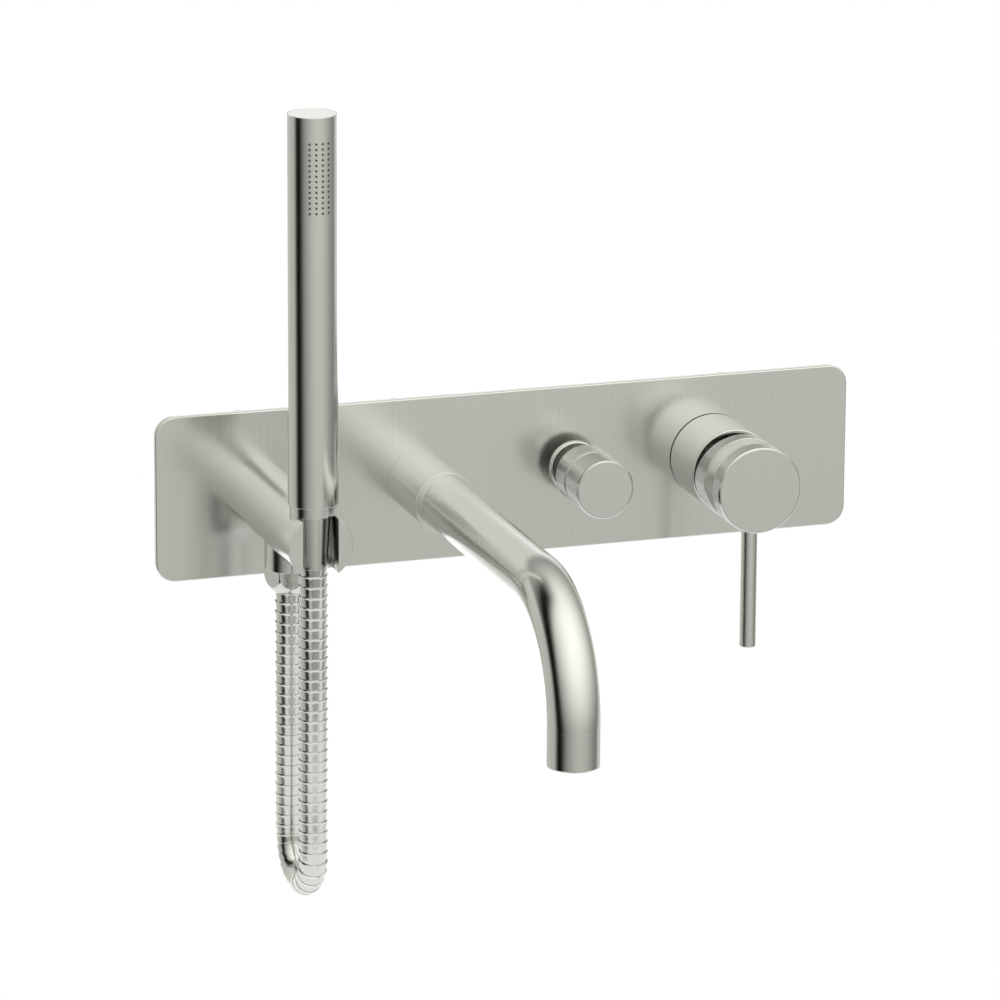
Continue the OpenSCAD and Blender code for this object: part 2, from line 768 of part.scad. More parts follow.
module hose_tail() {
    bore = 4.5;
    neck = hose_r - slip_gap;
    flange = stub_r - slip_gap;
    color("goldenrod") turned_up(arm_x, outlet_out, [[bore, nut_z], [neck, nut_z], [neck, tail_z],
        [flange, tail_z], [flange, hose_washer_z], [bore, hose_washer_z]]);
}

// ---- Hose ----

// Dip of the hose's heading at point i, from its neighbours
function hose_dip(i) =
    let (a = hose_route[max(i - 1, 0)], b = hose_route[min(i + 1, len(hose_route) - 1)])
        (i == 0 || i == len(hose_route) - 1) ? (i == 0 ? 90 : 270)
            : atan2(a[1] - b[1], a[0] - b[0]);

module hose() {
    color("silver") swept_solid([
        for (i = [0 : len(hose_route) - 1])
            ring(arm_x, -hose_route[i][0], hose_route[i][1], hose_dip(i), hose_r, hose_r, hose_sides)],
        hose_sides);
}

module hose_ferrule() {
    color("silver") turned_up(arm_x, handset_out, [[ferrule_bore_r, ferrule_tip_z],
        [ferrule_tip_r, ferrule_tip_z], [ferrule_top_r, collar_z], [ferrule_top_r, flange_z],
        [flange_r, flange_z], [flange_r, flange_top], [ferrule_bore_r, flange_top]]);
}

module filter_washer() {
    color("black") tube_up(arm_x, handset_out, flange_r - slip_gap, 4,
        flange_top, flange_top + washer_t);
}

// ---- Hand shower ----

// One radial bar at each nozzle
module at_nozzles(r, from, to) {
    for (row = [0 : nozzle_rows - 1], col = [0 : nozzle_cols - 1])
        translate([arm_x, -handset_out, nozzle_top_z - row * nozzle_pitch])
            rotate([90, 0, (col - (nozzle_cols - 1) / 2) * nozzle_step])
                translate([0, 0, from]) cylinder(r = r, h = to - from, $fn = 16);
}

module handset_tube() {
    rim = handset_r - cap_rim;
    color("silver") difference() {
        turned_up(arm_x, handset_out, [[handset_bore_r, tube_z], [handset_r, tube_z],
            [handset_r, handset_top - cap_rim], [rim, handset_top],
            [rim, handset_top - cap_t], [handset_bore_r, handset_top - cap_t]]);
        at_nozzles(nozzle_r, handset_bore_r - over, handset_r + over);
    }
}

module handset_cap() {
    seat = handset_top - cap_t;
    color("gainsboro") turned_up(arm_x, handset_out, [[0, seat - cap_plug_len],
        [liner_r, seat - cap_plug_len], [liner_r, seat], [cap_r, seat], [cap_r, handset_top],
        [0, handset_top]]);
}

module handset_collar() {
    mouth = ferrule_top_r + fit_gap + run_gap;
    color("silver") turned_up(arm_x, handset_out, [[mouth, collar_z], [collar_r, collar_z],
        [collar_r, tube_z], [collar_thread_r, tube_z], [collar_thread_r, collar_top],
        [collar_bore_r, collar_top], [collar_bore_r, flange_z - fit_gap],
        [mouth, flange_z - fit_gap]]);
}

module handset_socket() {
    seat_r = water_tube_r + slip_gap;
    bore = water_tube_r - water_tube_wall;
    color("white") turned_up(arm_x, handset_out, [[bore, socket_z], [socket_r, socket_z],
        [socket_r, collar_top], [liner_r, collar_top], [liner_r, socket_top], [seat_r, socket_top],
        [seat_r, socket_top - water_tube_seat], [bore, socket_top - water_tube_seat]]);
}

module nozzle_liner() {
    inner = liner_r - liner_wall;
    floor_r = water_tube_r + slip_gap;
    color("dimgray") union() {
        turned_up(arm_x, handset_out, [[floor_r, liner_z], [liner_r, liner_z], [liner_r, liner_top],
            [inner, liner_top], [inner, liner_z + liner_floor], [floor_r, liner_z + liner_floor]]);
        at_nozzles(nozzle_r - run_gap, inner + liner_wall / 2, handset_r - nozzle_sunk);
    }
}

module water_tube() {
    color("white") tube_up(arm_x, handset_out, water_tube_r, water_tube_r - water_tube_wall,
        socket_top - water_tube_seat, liner_z + liner_floor);
}

// ---- Spout ----

module spout_nipple() {
    color("goldenrod") nipple(spout_x, spout_nipple_end);
}

module spout_o_ring() {
    color("black") o_ring_out(spout_x, nipple_bore_r, o_ring_at);
}

module spout_sleeve() {
    edge = 0.3;
    color("silver") turned_out(spout_x, [[nipple_bore_r, plate_t], [spout_sleeve_r, plate_t],
        [spout_sleeve_r, spout_joint - edge], [spout_sleeve_r - edge, spout_joint],
        [nipple_bore_r, spout_joint]]);
}

// Ring of the spout at distance s beyond its joint, with a wall taken off
function straight_ring(s, wall) =
    ring(spout_x, spout_joint + s, 0, 0, spout_r - wall, spout_r - wall, spout_sides);

// Ring of the spout where its bend has turned by an angle and drawn in towards the tip
function bend_ring(turn, wall) =
    let (blend = turn / 90, ease = blend * blend * (3 - 2 * blend),
        r = spout_r + (tip_r - spout_r) * ease - wall)
        ring(spout_x, spout_bend_out + spout_bend_r * sin(turn),
            -spout_bend_r * (1 - cos(turn)), turn, r, r, spout_sides);

// Round ring in the spout's vertical end
function drop_ring(z, r) = ring(spout_x, spout_reach, z, 90, r, r, spout_sides);

module spout_tube() {
    bore = nipple_bore_r + slip_gap;
    neck = neck_r_aerator + slip_gap;
    hollow_start = spout_nipple_end - spout_joint + 5;
    hollow_len = spout_straight - hollow_start;
    outside = concat(
        [for (i = [0 : straight_rings - 1])
            straight_ring(spout_straight * i / straight_rings, 0)],
        [for (i = [0 : bend_rings]) bend_ring(90 * i / bend_rings, 0)],
        [drop_ring(tip_joint_z, tip_r)]);
    inside = concat(
        [drop_ring(tip_joint_z, neck), drop_ring(neck_top_z, neck),
            drop_ring(neck_top_z, tip_r - spout_wall)],
        [for (i = [bend_rings / 2 - 1 : -1 : 0]) bend_ring(180 * i / bend_rings, spout_wall)],
        [for (i = [4 : -1 : 0]) straight_ring(hollow_start + hollow_len * i / 5, spout_wall)],
        [ring(spout_x, spout_nipple_end + slip_gap, 0, 0, bore, bore, spout_sides),
            ring(spout_x, spout_joint, 0, 0, bore, bore, spout_sides)]);
    color("silver") swept_shell(concat(outside, inside), spout_sides);
}

module aerator_housing() {
    lip_r = aerator_bore_r - aerator_lip;
    color("silver") turned_up(spout_x, spout_reach, concat(
        [[lip_r, -tip_drop]],
        [for (turn = [0 : 30 : 90]) [tip_r - lip_round + lip_round * sin(turn),
            -tip_drop + lip_round - lip_round * cos(turn)]],
        [[tip_r, tip_joint_z], [neck_r_aerator, tip_joint_z], [neck_r_aerator, neck_top_z],
            [aerator_bore_r, neck_top_z], [aerator_bore_r, insert_z], [lip_r, insert_z]]));
}

module aerator_insert() {
    color("whitesmoke") difference() {
        bar_up(spout_x, spout_reach, insert_r, insert_z, aerator_washer_z);
        for (circle_no = [0 : 2], k = [0 : max(6 * circle_no - 1, 0)])
            translate([spout_x, -spout_reach, insert_z - over])
                rotate(circle_no == 0 ? 0 : 60 * k / circle_no)
                    translate([circle_no * (insert_r - 2) / 2.6, 0, 0])
                        cylinder(r = aerator_hole_r, h = aerator_insert_h + 2 * over, $fn = 16);
    }
}

module aerator_washer() {
    color("black") tube_up(spout_x, spout_reach, insert_r, insert_r - 3,
        aerator_washer_z, aerator_washer_z + 2 * washer_t);
}

// ---- Diverter ----

module diverter_collar() {
    edge = 0.4;
    color("silver") turned_out(diverter_x, [[bonnet_r + slip_gap, plate_t],
        [diverter_collar_r, plate_t], [diverter_collar_r, diverter_collar_end - edge],
        [diverter_collar_r - edge, diverter_collar_end],
        [bonnet_r + slip_gap, diverter_collar_end]]);
}

module diverter_bonnet() {
    color("goldenrod") turned_out(diverter_x, [[bonnet_bore_r, bonnet_seat],
        [diverter_cart_r, bonnet_seat], [diverter_cart_r, bonnet_shoulder],
        [bonnet_r, bonnet_shoulder], [bonnet_r, bonnet_end], [bonnet_bore_r, bonnet_end]]);
}

module diverter_cartridge() {
    color("white") difference() {
        bar_out(diverter_x, diverter_cart_r, diverter_cart_z, bonnet_seat);
        bar_out(diverter_x, bonnet_bore_r, spindle_z - fit_gap, bonnet_seat + over);
        bar_across(mixed_feed_depth + 6, 3, diverter_x, diverter_x + 2 * diverter_cart_r);
        bar_across(arm_feed_depth - 2, 3, diverter_x - 2 * diverter_cart_r, diverter_x);
    }
}

module diverter_spindle() {
    color("goldenrod") difference() {
        union() {
            bar_out(diverter_x, spindle_r, spindle_z, drive_start);
            square_bar_out(diverter_x, drive_w, drive_start - over, drive_end);
        }
        o_ring_groove(diverter_x, spindle_r, o_ring_at);
        bar_out(diverter_x, screw_r + slip_gap, screw_seat - screw_len - slip_gap, drive_end + over);
    }
}

module spindle_o_ring() {
    color("black") o_ring_out(diverter_x, spindle_r, o_ring_at);
}

module diverter_knob() {
    groove = knob_back + diverter_groove_at;
    groove_r = diverter_knob_r - diverter_groove_depth;
    color("silver") difference() {
        turned_out(diverter_x, [[0, knob_back], [diverter_knob_r, knob_back],
            [diverter_knob_r, groove], [groove_r, groove],
            [groove_r, groove + diverter_groove_w], [diverter_knob_r, groove + diverter_groove_w],
            [diverter_knob_r, knob_front - face_chamfer], [diverter_face_r, knob_front],
            [diverter_face_r - slip_gap, knob_front], [diverter_face_r - slip_gap, knob_face],
            [0, knob_face]]);
        bar_out(diverter_x, spindle_mouth_r, knob_back - over, drive_start + slip_gap);
        square_bar_out(diverter_x, drive_w + 2 * slip_gap, knob_back, drive_end + slip_gap);
        bar_out(diverter_x, screw_r + slip_gap, drive_end, screw_seat + over);
        bar_out(diverter_x, screw_head_r + 0.5, screw_seat, knob_front);
    }
}

module diverter_screw() {
    color("gray") difference() {
        turned_out(diverter_x, [[0, screw_seat - screw_len], [screw_r, screw_seat - screw_len],
            [screw_r, screw_seat], [screw_head_r, screw_seat],
            [screw_head_r, screw_seat + screw_head_h], [0, screw_seat + screw_head_h]]);
        translate([diverter_x, -screw_seat - screw_head_h - over, 0]) rotate([-90, 0, 0])
            cylinder(r = 2.3, h = over + 2, $fn = 6);
    }
}

module diverter_cap() {
    color("gainsboro")
        bar_out(diverter_x, diverter_face_r - 2 * slip_gap, knob_face, knob_front);
}

// ---- Mixer ----

module mixer_sleeve() {
    foot = plate_t + sleeve_foot;
    color("silver") turned_out(mixer_x, [[sleeve_bore_r, plate_t],
        [sleeve_r - sleeve_foot_step, plate_t], [sleeve_r - sleeve_foot_step, foot],
        [sleeve_r, foot], [sleeve_r, sleeve_end - sleeve_chamfer],
        [sleeve_r - sleeve_chamfer, sleeve_end], [sleeve_bore_r, sleeve_end]]);
}

module mixer_o_ring() {
    color("black") o_ring_out(mixer_x, sleeve_bore_r, o_ring_at);
}

module cartridge_body() {
    bore = core_r + run_gap;
    color("white") difference() {
        turned_out(mixer_x, [[0, cartridge_z], [cartridge_r, cartridge_z], [cartridge_r, nut_seat],
            [cartridge_step_r, nut_seat], [cartridge_step_r, cartridge_top],
            [bore, cartridge_top], [bore, cartridge_floor], [0, cartridge_floor]]);
        disc_ports(cartridge_z - over, cartridge_floor + over);
    }
}

// Two inlet ports and one outlet port, through the cartridge's floor and its fixed disc
module disc_ports(from, to) {
    for (side = [-1, 1])
        bar_out(mixer_x + side * disc_port_x, disc_port_r, from, to, -disc_port_z / 2);
    bar_out(mixer_x, disc_port_r, from, to, disc_port_z);
}

module cartridge_seal() {
    color("black") tube_out(mixer_x, cartridge_r - 0.5, cartridge_r - 0.5 - seal_w, pocket_floor,
        cartridge_z);
}

module cartridge_nut() {
    notch = 3;
    color("goldenrod") difference() {
        tube_out(mixer_x, cartridge_r, cartridge_step_r + slip_gap, nut_seat, nut_top);
        for (turn = [0, 45, 90, 135])
            translate([mixer_x, -nut_top, 0]) rotate([0, turn, 0])
                cube([2 * cartridge_r + over, 2 * 1.5, notch], center = true);
    }
}

module fixed_disc() {
    color("ivory") difference() {
        bar_out(mixer_x, disc_r, cartridge_floor, cartridge_floor + disc_t);
        disc_ports(cartridge_floor - over, cartridge_floor + disc_t + over);
    }
}

module moving_disc() {
    color("ivory") difference() {
        bar_out(mixer_x, disc_r, moving_disc_z, core_z);
        bar_out(mixer_x, disc_r / 2, moving_disc_z - over, moving_disc_z + disc_t / 2);
    }
}

// Core that the lever turns, with a fork for the stem's pin
module cartridge_core() {
    color("lightgray") difference() {
        bar_out(mixer_x, core_r, core_z, ear_end);
        translate([mixer_x - fork_gap, -ear_end - over, -core_r - over])
            cube([2 * fork_gap, ear_end + over - fork_floor, 2 * core_r + 2 * over]);
        for (level = [-1, 1])
            translate([mixer_x - core_r - over, -ear_end - over,
                    level > 0 ? eye_r + fit_gap : -eye_r - fit_gap - core_r])
                cube([2 * core_r + 2 * over, ear_end + over - core_end, core_r]);
        bar_across(-pivot_out, pivot_pin_r + run_gap, mixer_x - core_r - over,
            mixer_x + core_r + over);
    }
}

module pivot_pin() {
    color("gray") bar_across(-pivot_out, pivot_pin_r, mixer_x - pin_half, mixer_x + pin_half);
}

module mixer_stem() {
    color("lightgray") difference() {
        union() {
            bar_across(-pivot_out, eye_r, mixer_x - stem_w / 2, mixer_x + stem_w / 2);
            square_bar_out(mixer_x, stem_w, pivot_out, stem_end);
            square_bar_out(mixer_x, tongue_w, pivot_out - tongue_len, pivot_out);
        }
        bar_across(-pivot_out, pivot_pin_r + run_gap, mixer_x - stem_w, mixer_x + stem_w);
    }
}

module mixer_knob() {
    smooth_r = knob_r - band_step;
    recess_r = knob_face_r - slip_gap;
    recess = knob_end - face_t;
    color("silver") difference() {
        turned_out(mixer_x, [[knob_pocket_r, knob_z], [knob_r, knob_z], [knob_r, smooth_z],
            [smooth_r, smooth_z], [smooth_r, front_z], [knob_r, front_z],
            [knob_r, knob_end - face_chamfer], [knob_face_r, knob_end], [recess_r, knob_end],
            [recess_r, recess], [front_pocket_r, recess], [front_pocket_r, front_pocket_z],
            [0, front_pocket_z], [0, pocket_end], [knob_pocket_r, pocket_end]]);
        square_bar_out(mixer_x, socket_w, pocket_end - over, stem_end + slip_gap);
        // Oblique relief of the upper back edge
        translate([mixer_x - 2 * knob_r, -knob_z, 0]) rotate([relief_angle, 0, 0])
            cube([4 * knob_r, knob_r, 2 * knob_r]);
        // Hole of the lever
        bar_up(mixer_x, lever_out, lever_r + slip_gap, -2 * knob_r, -lever_seat);
        bar_up(mixer_x, lever_out, lever_thread_r + slip_gap, -knob_r, 0);
    }
}

module mixer_lever() {
    color("silver") turned_up(mixer_x, lever_out, [[0, -lever_reach],
        [lever_r - lever_round, -lever_reach], [lever_r, -lever_reach + lever_round],
        [lever_r, -lever_seat], [lever_thread_r, -lever_seat],
        [lever_thread_r, -stem_w / 2 - slip_gap], [0, -stem_w / 2 - slip_gap]]);
}

module mixer_cap() {
    color("gainsboro")
        bar_out(mixer_x, knob_face_r - 2 * slip_gap, knob_end - face_t, knob_end);
}

backplate();
plate_seal();
valve_body();
hot_inlet();
cold_inlet();
mounting_rail();
rail_screws();
flush_plugs();
arm_nipple();
arm_o_ring();
holder_arm();
outlet_stub();
check_valve();
hose_nut();
hose_washer();
hose_tail();
hose();
hose_ferrule();
filter_washer();
handset_tube();
handset_cap();
handset_collar();
handset_socket();
nozzle_liner();
water_tube();
spout_nipple();
spout_o_ring();
spout_sleeve();
spout_tube();
aerator_housing();
aerator_insert();
aerator_washer();
diverter_collar();
diverter_bonnet();
diverter_cartridge();
diverter_spindle();
spindle_o_ring();
diverter_knob();
diverter_screw();
diverter_cap();
mixer_sleeve();
mixer_o_ring();
cartridge_body();
cartridge_seal();
cartridge_nut();
fixed_disc();
moving_disc();
cartridge_core();
pivot_pin();
mixer_stem();
mixer_knob();
mixer_lever();
mixer_cap();
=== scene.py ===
"""Wall mounted bath faucet: finishes, fine shapes, hose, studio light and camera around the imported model."""
import json
import math

import bmesh
import bpy
from mathutils import Matrix, Vector

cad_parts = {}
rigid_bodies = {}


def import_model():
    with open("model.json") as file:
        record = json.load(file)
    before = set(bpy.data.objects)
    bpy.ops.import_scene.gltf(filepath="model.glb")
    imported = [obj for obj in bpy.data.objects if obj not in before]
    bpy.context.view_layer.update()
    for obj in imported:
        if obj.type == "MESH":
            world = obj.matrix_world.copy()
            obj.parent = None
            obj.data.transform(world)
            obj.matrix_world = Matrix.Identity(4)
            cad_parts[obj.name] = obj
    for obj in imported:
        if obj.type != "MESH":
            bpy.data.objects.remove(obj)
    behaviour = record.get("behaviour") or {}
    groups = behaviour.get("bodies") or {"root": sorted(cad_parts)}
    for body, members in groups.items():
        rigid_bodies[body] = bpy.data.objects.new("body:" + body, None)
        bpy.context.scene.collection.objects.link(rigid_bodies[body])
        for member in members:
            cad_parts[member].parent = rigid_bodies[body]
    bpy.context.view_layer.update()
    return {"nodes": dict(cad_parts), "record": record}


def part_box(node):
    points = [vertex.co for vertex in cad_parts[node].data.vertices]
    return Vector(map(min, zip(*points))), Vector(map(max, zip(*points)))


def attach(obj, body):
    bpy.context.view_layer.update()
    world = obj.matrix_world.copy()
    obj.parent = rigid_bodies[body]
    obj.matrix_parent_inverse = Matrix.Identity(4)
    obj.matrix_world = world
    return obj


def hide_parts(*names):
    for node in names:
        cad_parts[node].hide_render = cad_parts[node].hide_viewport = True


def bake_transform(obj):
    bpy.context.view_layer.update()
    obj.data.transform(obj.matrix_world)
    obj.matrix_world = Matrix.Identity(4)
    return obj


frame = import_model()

MM = 0.001
OUT = Vector((0, -1, 0))        # away from the wall
UP = Vector((0, 0, 1))

for unused in [o for o in bpy.data.objects if o.type in ("LIGHT", "CAMERA") or o.name == "Cube"]:
    bpy.data.objects.remove(unused)


# ---------------------------------------------------------------- places taken from the frame

def middle(node):
    """Centre of a node's box."""
    low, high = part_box(node)
    return (low + high) / 2


def size(node):
    """Extent of a node's box."""
    low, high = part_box(node)
    return high - low


def out_of(node):
    """(nearest, furthest) distance of a node from the wall plane."""
    low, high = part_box(node)
    return -high.y, -low.y


def height_of(node):
    """(lowest, highest) point of a node."""
    low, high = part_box(node)
    return low.z, high.z


ARM_X = middle("handset_tube").x
SPOUT_X = middle("aerator_housing").x
DIVERTER_X = middle("diverter_cap").x
MIXER_X = middle("mixer_cap").x
PLATE_FACE = out_of("backplate")[1]


# ---------------------------------------------------------------- camera

CAMERA_TURN = math.radians(18.54)       # to the left of straight on
CAMERA_TILT = math.radians(15.65)       # above level
CAMERA_ROLL = math.radians(0.31)
CAMERA_RANGE = 3.226
CAMERA_RIGHT = 0.0022                   # the aimed point, right of and above the origin
CAMERA_RISE = 0.01522
SENSOR = 36.0
LENS = 226.08


def make_camera():
    """A long lens at the left of the faucet and a little above it."""
    turn, tilt = CAMERA_TURN, CAMERA_TILT
    right = Vector((math.cos(turn), -math.sin(turn), 0))
    rise = Vector((math.sin(turn) * math.sin(tilt), math.cos(turn) * math.sin(tilt), math.cos(tilt)))
    ahead = Vector((math.sin(turn) * math.cos(tilt), math.cos(turn) * math.cos(tilt), -math.sin(tilt)))
    x_axis = math.cos(CAMERA_ROLL) * right + math.sin(CAMERA_ROLL) * rise
    y_axis = -math.sin(CAMERA_ROLL) * right + math.cos(CAMERA_ROLL) * rise
    place = -(CAMERA_RIGHT * x_axis + CAMERA_RISE * y_axis + CAMERA_RANGE * ahead)
    data = bpy.data.cameras.new("camera")
    data.sensor_width = SENSOR
    data.lens = LENS
    data.clip_start = 0.05
    data.clip_end = 50
    camera = bpy.data.objects.new("camera", data)
    turned_axes = Matrix((x_axis, y_axis, -ahead)).transposed()
    camera.matrix_world = Matrix.Translation(place) @ turned_axes.to_4x4()
    bpy.context.scene.collection.objects.link(camera)
    bpy.context.scene.camera = camera


make_camera()


# ---------------------------------------------------------------- arithmetic inside node trees

class Value:
    """A number inside a node tree, which takes part in ordinary arithmetic."""

    def __init__(self, tree, socket):
        self.tree = tree
        self.socket = socket

    def _of(self, operation, *items):
        """One maths node over numbers and values."""
        node = self.tree.nodes.new("ShaderNodeMath")
        node.operation = operation
        for slot, item in zip(node.inputs, items):
            if isinstance(item, Value):
                self.tree.links.new(item.socket, slot)
            else:
                slot.default_value = item
        return Value(self.tree, node.outputs[0])

    def _math(self, operation, *others):
        return self._of(operation, self, *others)

    def __add__(self, other):
        return self._math("ADD", other)

    def __radd__(self, other):
        return self._math("ADD", other)

    def __sub__(self, other):
        return self._math("SUBTRACT", other)

    def __rsub__(self, other):
        return self._of("SUBTRACT", other, self)

    def __mul__(self, other):
        return self._math("MULTIPLY", other)

    def __rmul__(self, other):
        return self._math("MULTIPLY", other)

    def __truediv__(self, other):
        return self._math("DIVIDE", other)

    def __rtruediv__(self, other):
        return self._of("DIVIDE", other, self)

    def __pow__(self, other):
        return self._math("POWER", other)

    def __neg__(self):
        return self._math("MULTIPLY", -1.0)

    def sin(self):
        return self._math("SINE")

    def cos(self):
        return self._math("COSINE")

    def absolute(self):
        return self._math("ABSOLUTE")

    def fraction(self):
        return self._math("FRACT")

    def floor(self):
        return self._math("FLOOR")

    def modulo(self, other):
        return self._math("MODULO", other)

    def at_least(self, other):
        return self._math("MAXIMUM", other)

    def at_most(self, other):
        return self._math("MINIMUM", other)

    def above(self, other):
        return self._math("GREATER_THAN", other)

    def eased(self):
        """Smooth step of a number from 0 to 1."""
        return self * self * (3.0 - 2.0 * self)

    def between(self, start, end):
        """Smooth step from start to end."""
        return ((self - start) / (end - start)).at_least(0.0).at_most(1.0).eased()


def vector_of(tree, x, y, z):
    """A vector socket with three parts."""
    node = tree.nodes.new("ShaderNodeCombineXYZ")
    for slot, item in zip(node.inputs, (x, y, z)):
        if isinstance(item, Value):
            tree.links.new(item.socket, slot)
        else:
            slot.default_value = item
    return node.outputs[0]


def parts_of(tree, socket):
    """The three parts of a vector socket."""
    node = tree.nodes.new("ShaderNodeSeparateXYZ")
    tree.links.new(socket, node.inputs[0])
    return [Value(tree, part) for part in node.outputs]


# ---------------------------------------------------------------- materials

NOISE_SPAN = (0.3, 0.7)         # the part of a noise that is used
RELIEF_SHIFT = 3.7              # keeps a finish's relief apart from its colour

def new_material(name):
    """An empty node material and its principled shader."""
    material = bpy.data.materials.new(name)
    material.use_nodes = True
    shader = material.node_tree.nodes["Principled BSDF"]
    return material, material.node_tree, shader


def noise(tree, grain, detail, shift=0.0):
    """Noise from 0 to 1 on Object coordinates: grain is its number of grains per metre along x, y and z."""
    coordinates = tree.nodes.new("ShaderNodeTexCoord")
    mapping = tree.nodes.new("ShaderNodeMapping")
    mapping.inputs["Scale"].default_value = grain
    mapping.inputs["Location"].default_value = (shift, 2 * shift, -shift)
    texture = tree.nodes.new("ShaderNodeTexNoise")
    texture.inputs["Scale"].default_value = 1.0
    texture.inputs["Detail"].default_value = detail
    tree.links.new(coordinates.outputs["Object"], mapping.inputs["Vector"])
    tree.links.new(mapping.outputs[0], texture.inputs["Vector"])
    return texture.outputs["Fac"]


def ranged(tree, fac, low, high):
    """The used part of a noise, carried to the range from low to high."""
    node = tree.nodes.new("ShaderNodeMapRange")
    node.inputs["From Min"].default_value = NOISE_SPAN[0]
    node.inputs["From Max"].default_value = NOISE_SPAN[1]
    node.inputs["To Min"].default_value = low
    node.inputs["To Max"].default_value = high
    tree.links.new(fac, node.inputs["Value"])
    return node.outputs["Result"]


def shade(tree, shader, fac, colour, spread):
    """The base colour, darker and lighter by spread as fac runs."""
    mix = tree.nodes.new("ShaderNodeMix")
    mix.data_type = "RGBA"
    mix.inputs["A"].default_value = [c * (1 - spread) for c in colour] + [1]
    mix.inputs["B"].default_value = [min(1, c * (1 + spread)) for c in colour] + [1]
    tree.links.new(ranged(tree, fac, 0, 1), mix.inputs["Factor"])
    tree.links.new(mix.outputs["Result"], shader.inputs["Base Color"])


def bump(tree, shader, fac, depth, strength):
    """Relief of depth metres from fac."""
    node = tree.nodes.new("ShaderNodeBump")
    node.inputs["Distance"].default_value = depth
    node.inputs["Strength"].default_value = strength
    tree.links.new(fac, node.inputs["Height"])
    tree.links.new(node.outputs["Normal"], shader.inputs["Normal"])


def finish(name, colour, metallic, rough_low, rough_high, grain, spread=0.03, depth=0.0, strength=0.3,
           detail=2.0):
    """A finish whose colour, roughness and relief follow one grain."""
    material, tree, shader = new_material(name)
    shader.inputs["Metallic"].default_value = metallic
    fac = noise(tree, grain, detail)
    shade(tree, shader, fac, colour, spread)
    tree.links.new(ranged(tree, fac, rough_low, rough_high), shader.inputs["Roughness"])
    if depth:
        bump(tree, shader, noise(tree, grain, detail, RELIEF_SHIFT), depth, strength)
    return material


NICKEL = (0.715, 0.715, 0.69)
PLATE_NICKEL = (0.71, 0.71, 0.685)

FINISHES = {
    "brushed_metal": finish("brushed_nickel_plate", PLATE_NICKEL, 1, 0.18, 0.21, (2200, 2200, 14), 0.02),
    "satin_metal": finish("satin_nickel", NICKEL, 1, 0.15, 0.18, (900, 900, 60), 0.01),
    "face_metal": finish("brushed_nickel_face", PLATE_NICKEL, 1, 0.18, 0.22, (2200, 2200, 20), 0.015),
    "knurled_metal": finish("knurled_nickel", NICKEL, 1, 0.16, 0.24, (1500, 1500, 1500), 0.03),
    "hose_metal": finish("hose_nickel", NICKEL, 1, 0.14, 0.22, (1200, 1200, 900), 0.03),
    "raw_brass": finish("cast_brass", (0.66, 0.48, 0.22), 1, 0.34, 0.52, (260, 260, 260), 0.10,
                        depth=1.5e-5, strength=0.3, detail=5),
    # Painted shade: a near black nickel for inner parts that are seen only in the shaded gaps behind the knobs
    "painted_shade_metal": finish("painted_shade_nickel", (0.10, 0.10, 0.09), 1, 0.25, 0.35, (900, 900, 900), 0.05),
    "zinc_steel": finish("zinc_plated_steel", (0.62, 0.63, 0.62), 1, 0.26, 0.42, (420, 420, 420), 0.06,
                         detail=4),
    "black_rubber": finish("black_rubber", (0.025, 0.025, 0.026), 0, 0.55, 0.75, (1800, 1800, 1800), 0.15,
                           depth=1e-5, strength=0.2),
    "nozzle_rubber": finish("nozzle_rubber", (0.09, 0.09, 0.085), 0, 0.45, 0.6, (2500, 2500, 2500), 0.1),
    "white_plastic": finish("white_plastic", (0.80, 0.80, 0.77), 0, 0.35, 0.45, (900, 900, 900), 0.02),
    "ceramic": finish("ceramic", (0.84, 0.82, 0.77), 0, 0.12, 0.2, (700, 700, 700), 0.015),
}


# ---------------------------------------------------------------- pieces

FLANK_SHARE = 0.4               # how much of a flank the rounding of its corner may take
FLANK_HOLD = 1.25               # where a flank is held, in roundings from the corner
ARC_STEPS = 4                   # steps of the arc at a corner
FACE_GAP = 0.0001               # clearance around each face disc

def add_object(name, mesh):
    """Links a mesh as an object at the origin."""
    obj = bpy.data.objects.new(name, mesh)
    bpy.context.scene.collection.objects.link(obj)
    return obj


def dress(obj, body, slot, *nodes):
    """Gives a piece its body, its finish and the nodes that it stands for."""
    obj.data.materials.clear()
    obj.data.materials.append(FINISHES[slot])
    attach(obj, body)
    if nodes:
        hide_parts(*nodes)


def shaded(obj, crease):
    """Smooth shading, with edges over crease degrees kept sharp."""
    obj.data.shade_smooth()
    obj.data.set_sharp_from_angle(angle=math.radians(crease))
    return obj


def softened(outline, closed):
    """An outline of (radius, along, round) corners, each turned into a small arc with held flanks."""
    points = []
    count = len(outline)
    for i, (radius, along, edge) in enumerate(outline):
        here = Vector((radius, along))
        if edge <= 0 or (not closed and i in (0, count - 1)):
            points.append(here)
            continue
        before = Vector(outline[i - 1][:2]) - here
        after = Vector(outline[(i + 1) % count][:2]) - here
        cut = min(edge, FLANK_SHARE * before.length, FLANK_SHARE * after.length)
        hold = FLANK_HOLD * cut
        before.normalize()
        after.normalize()
        points.append(here + before * hold)
        for step in range(ARC_STEPS + 1):
            t = step / ARC_STEPS
            points.append(here + before * cut * (1 - t) ** 2 + after * cut * t ** 2)
        points.append(here + after * hold)
    return points


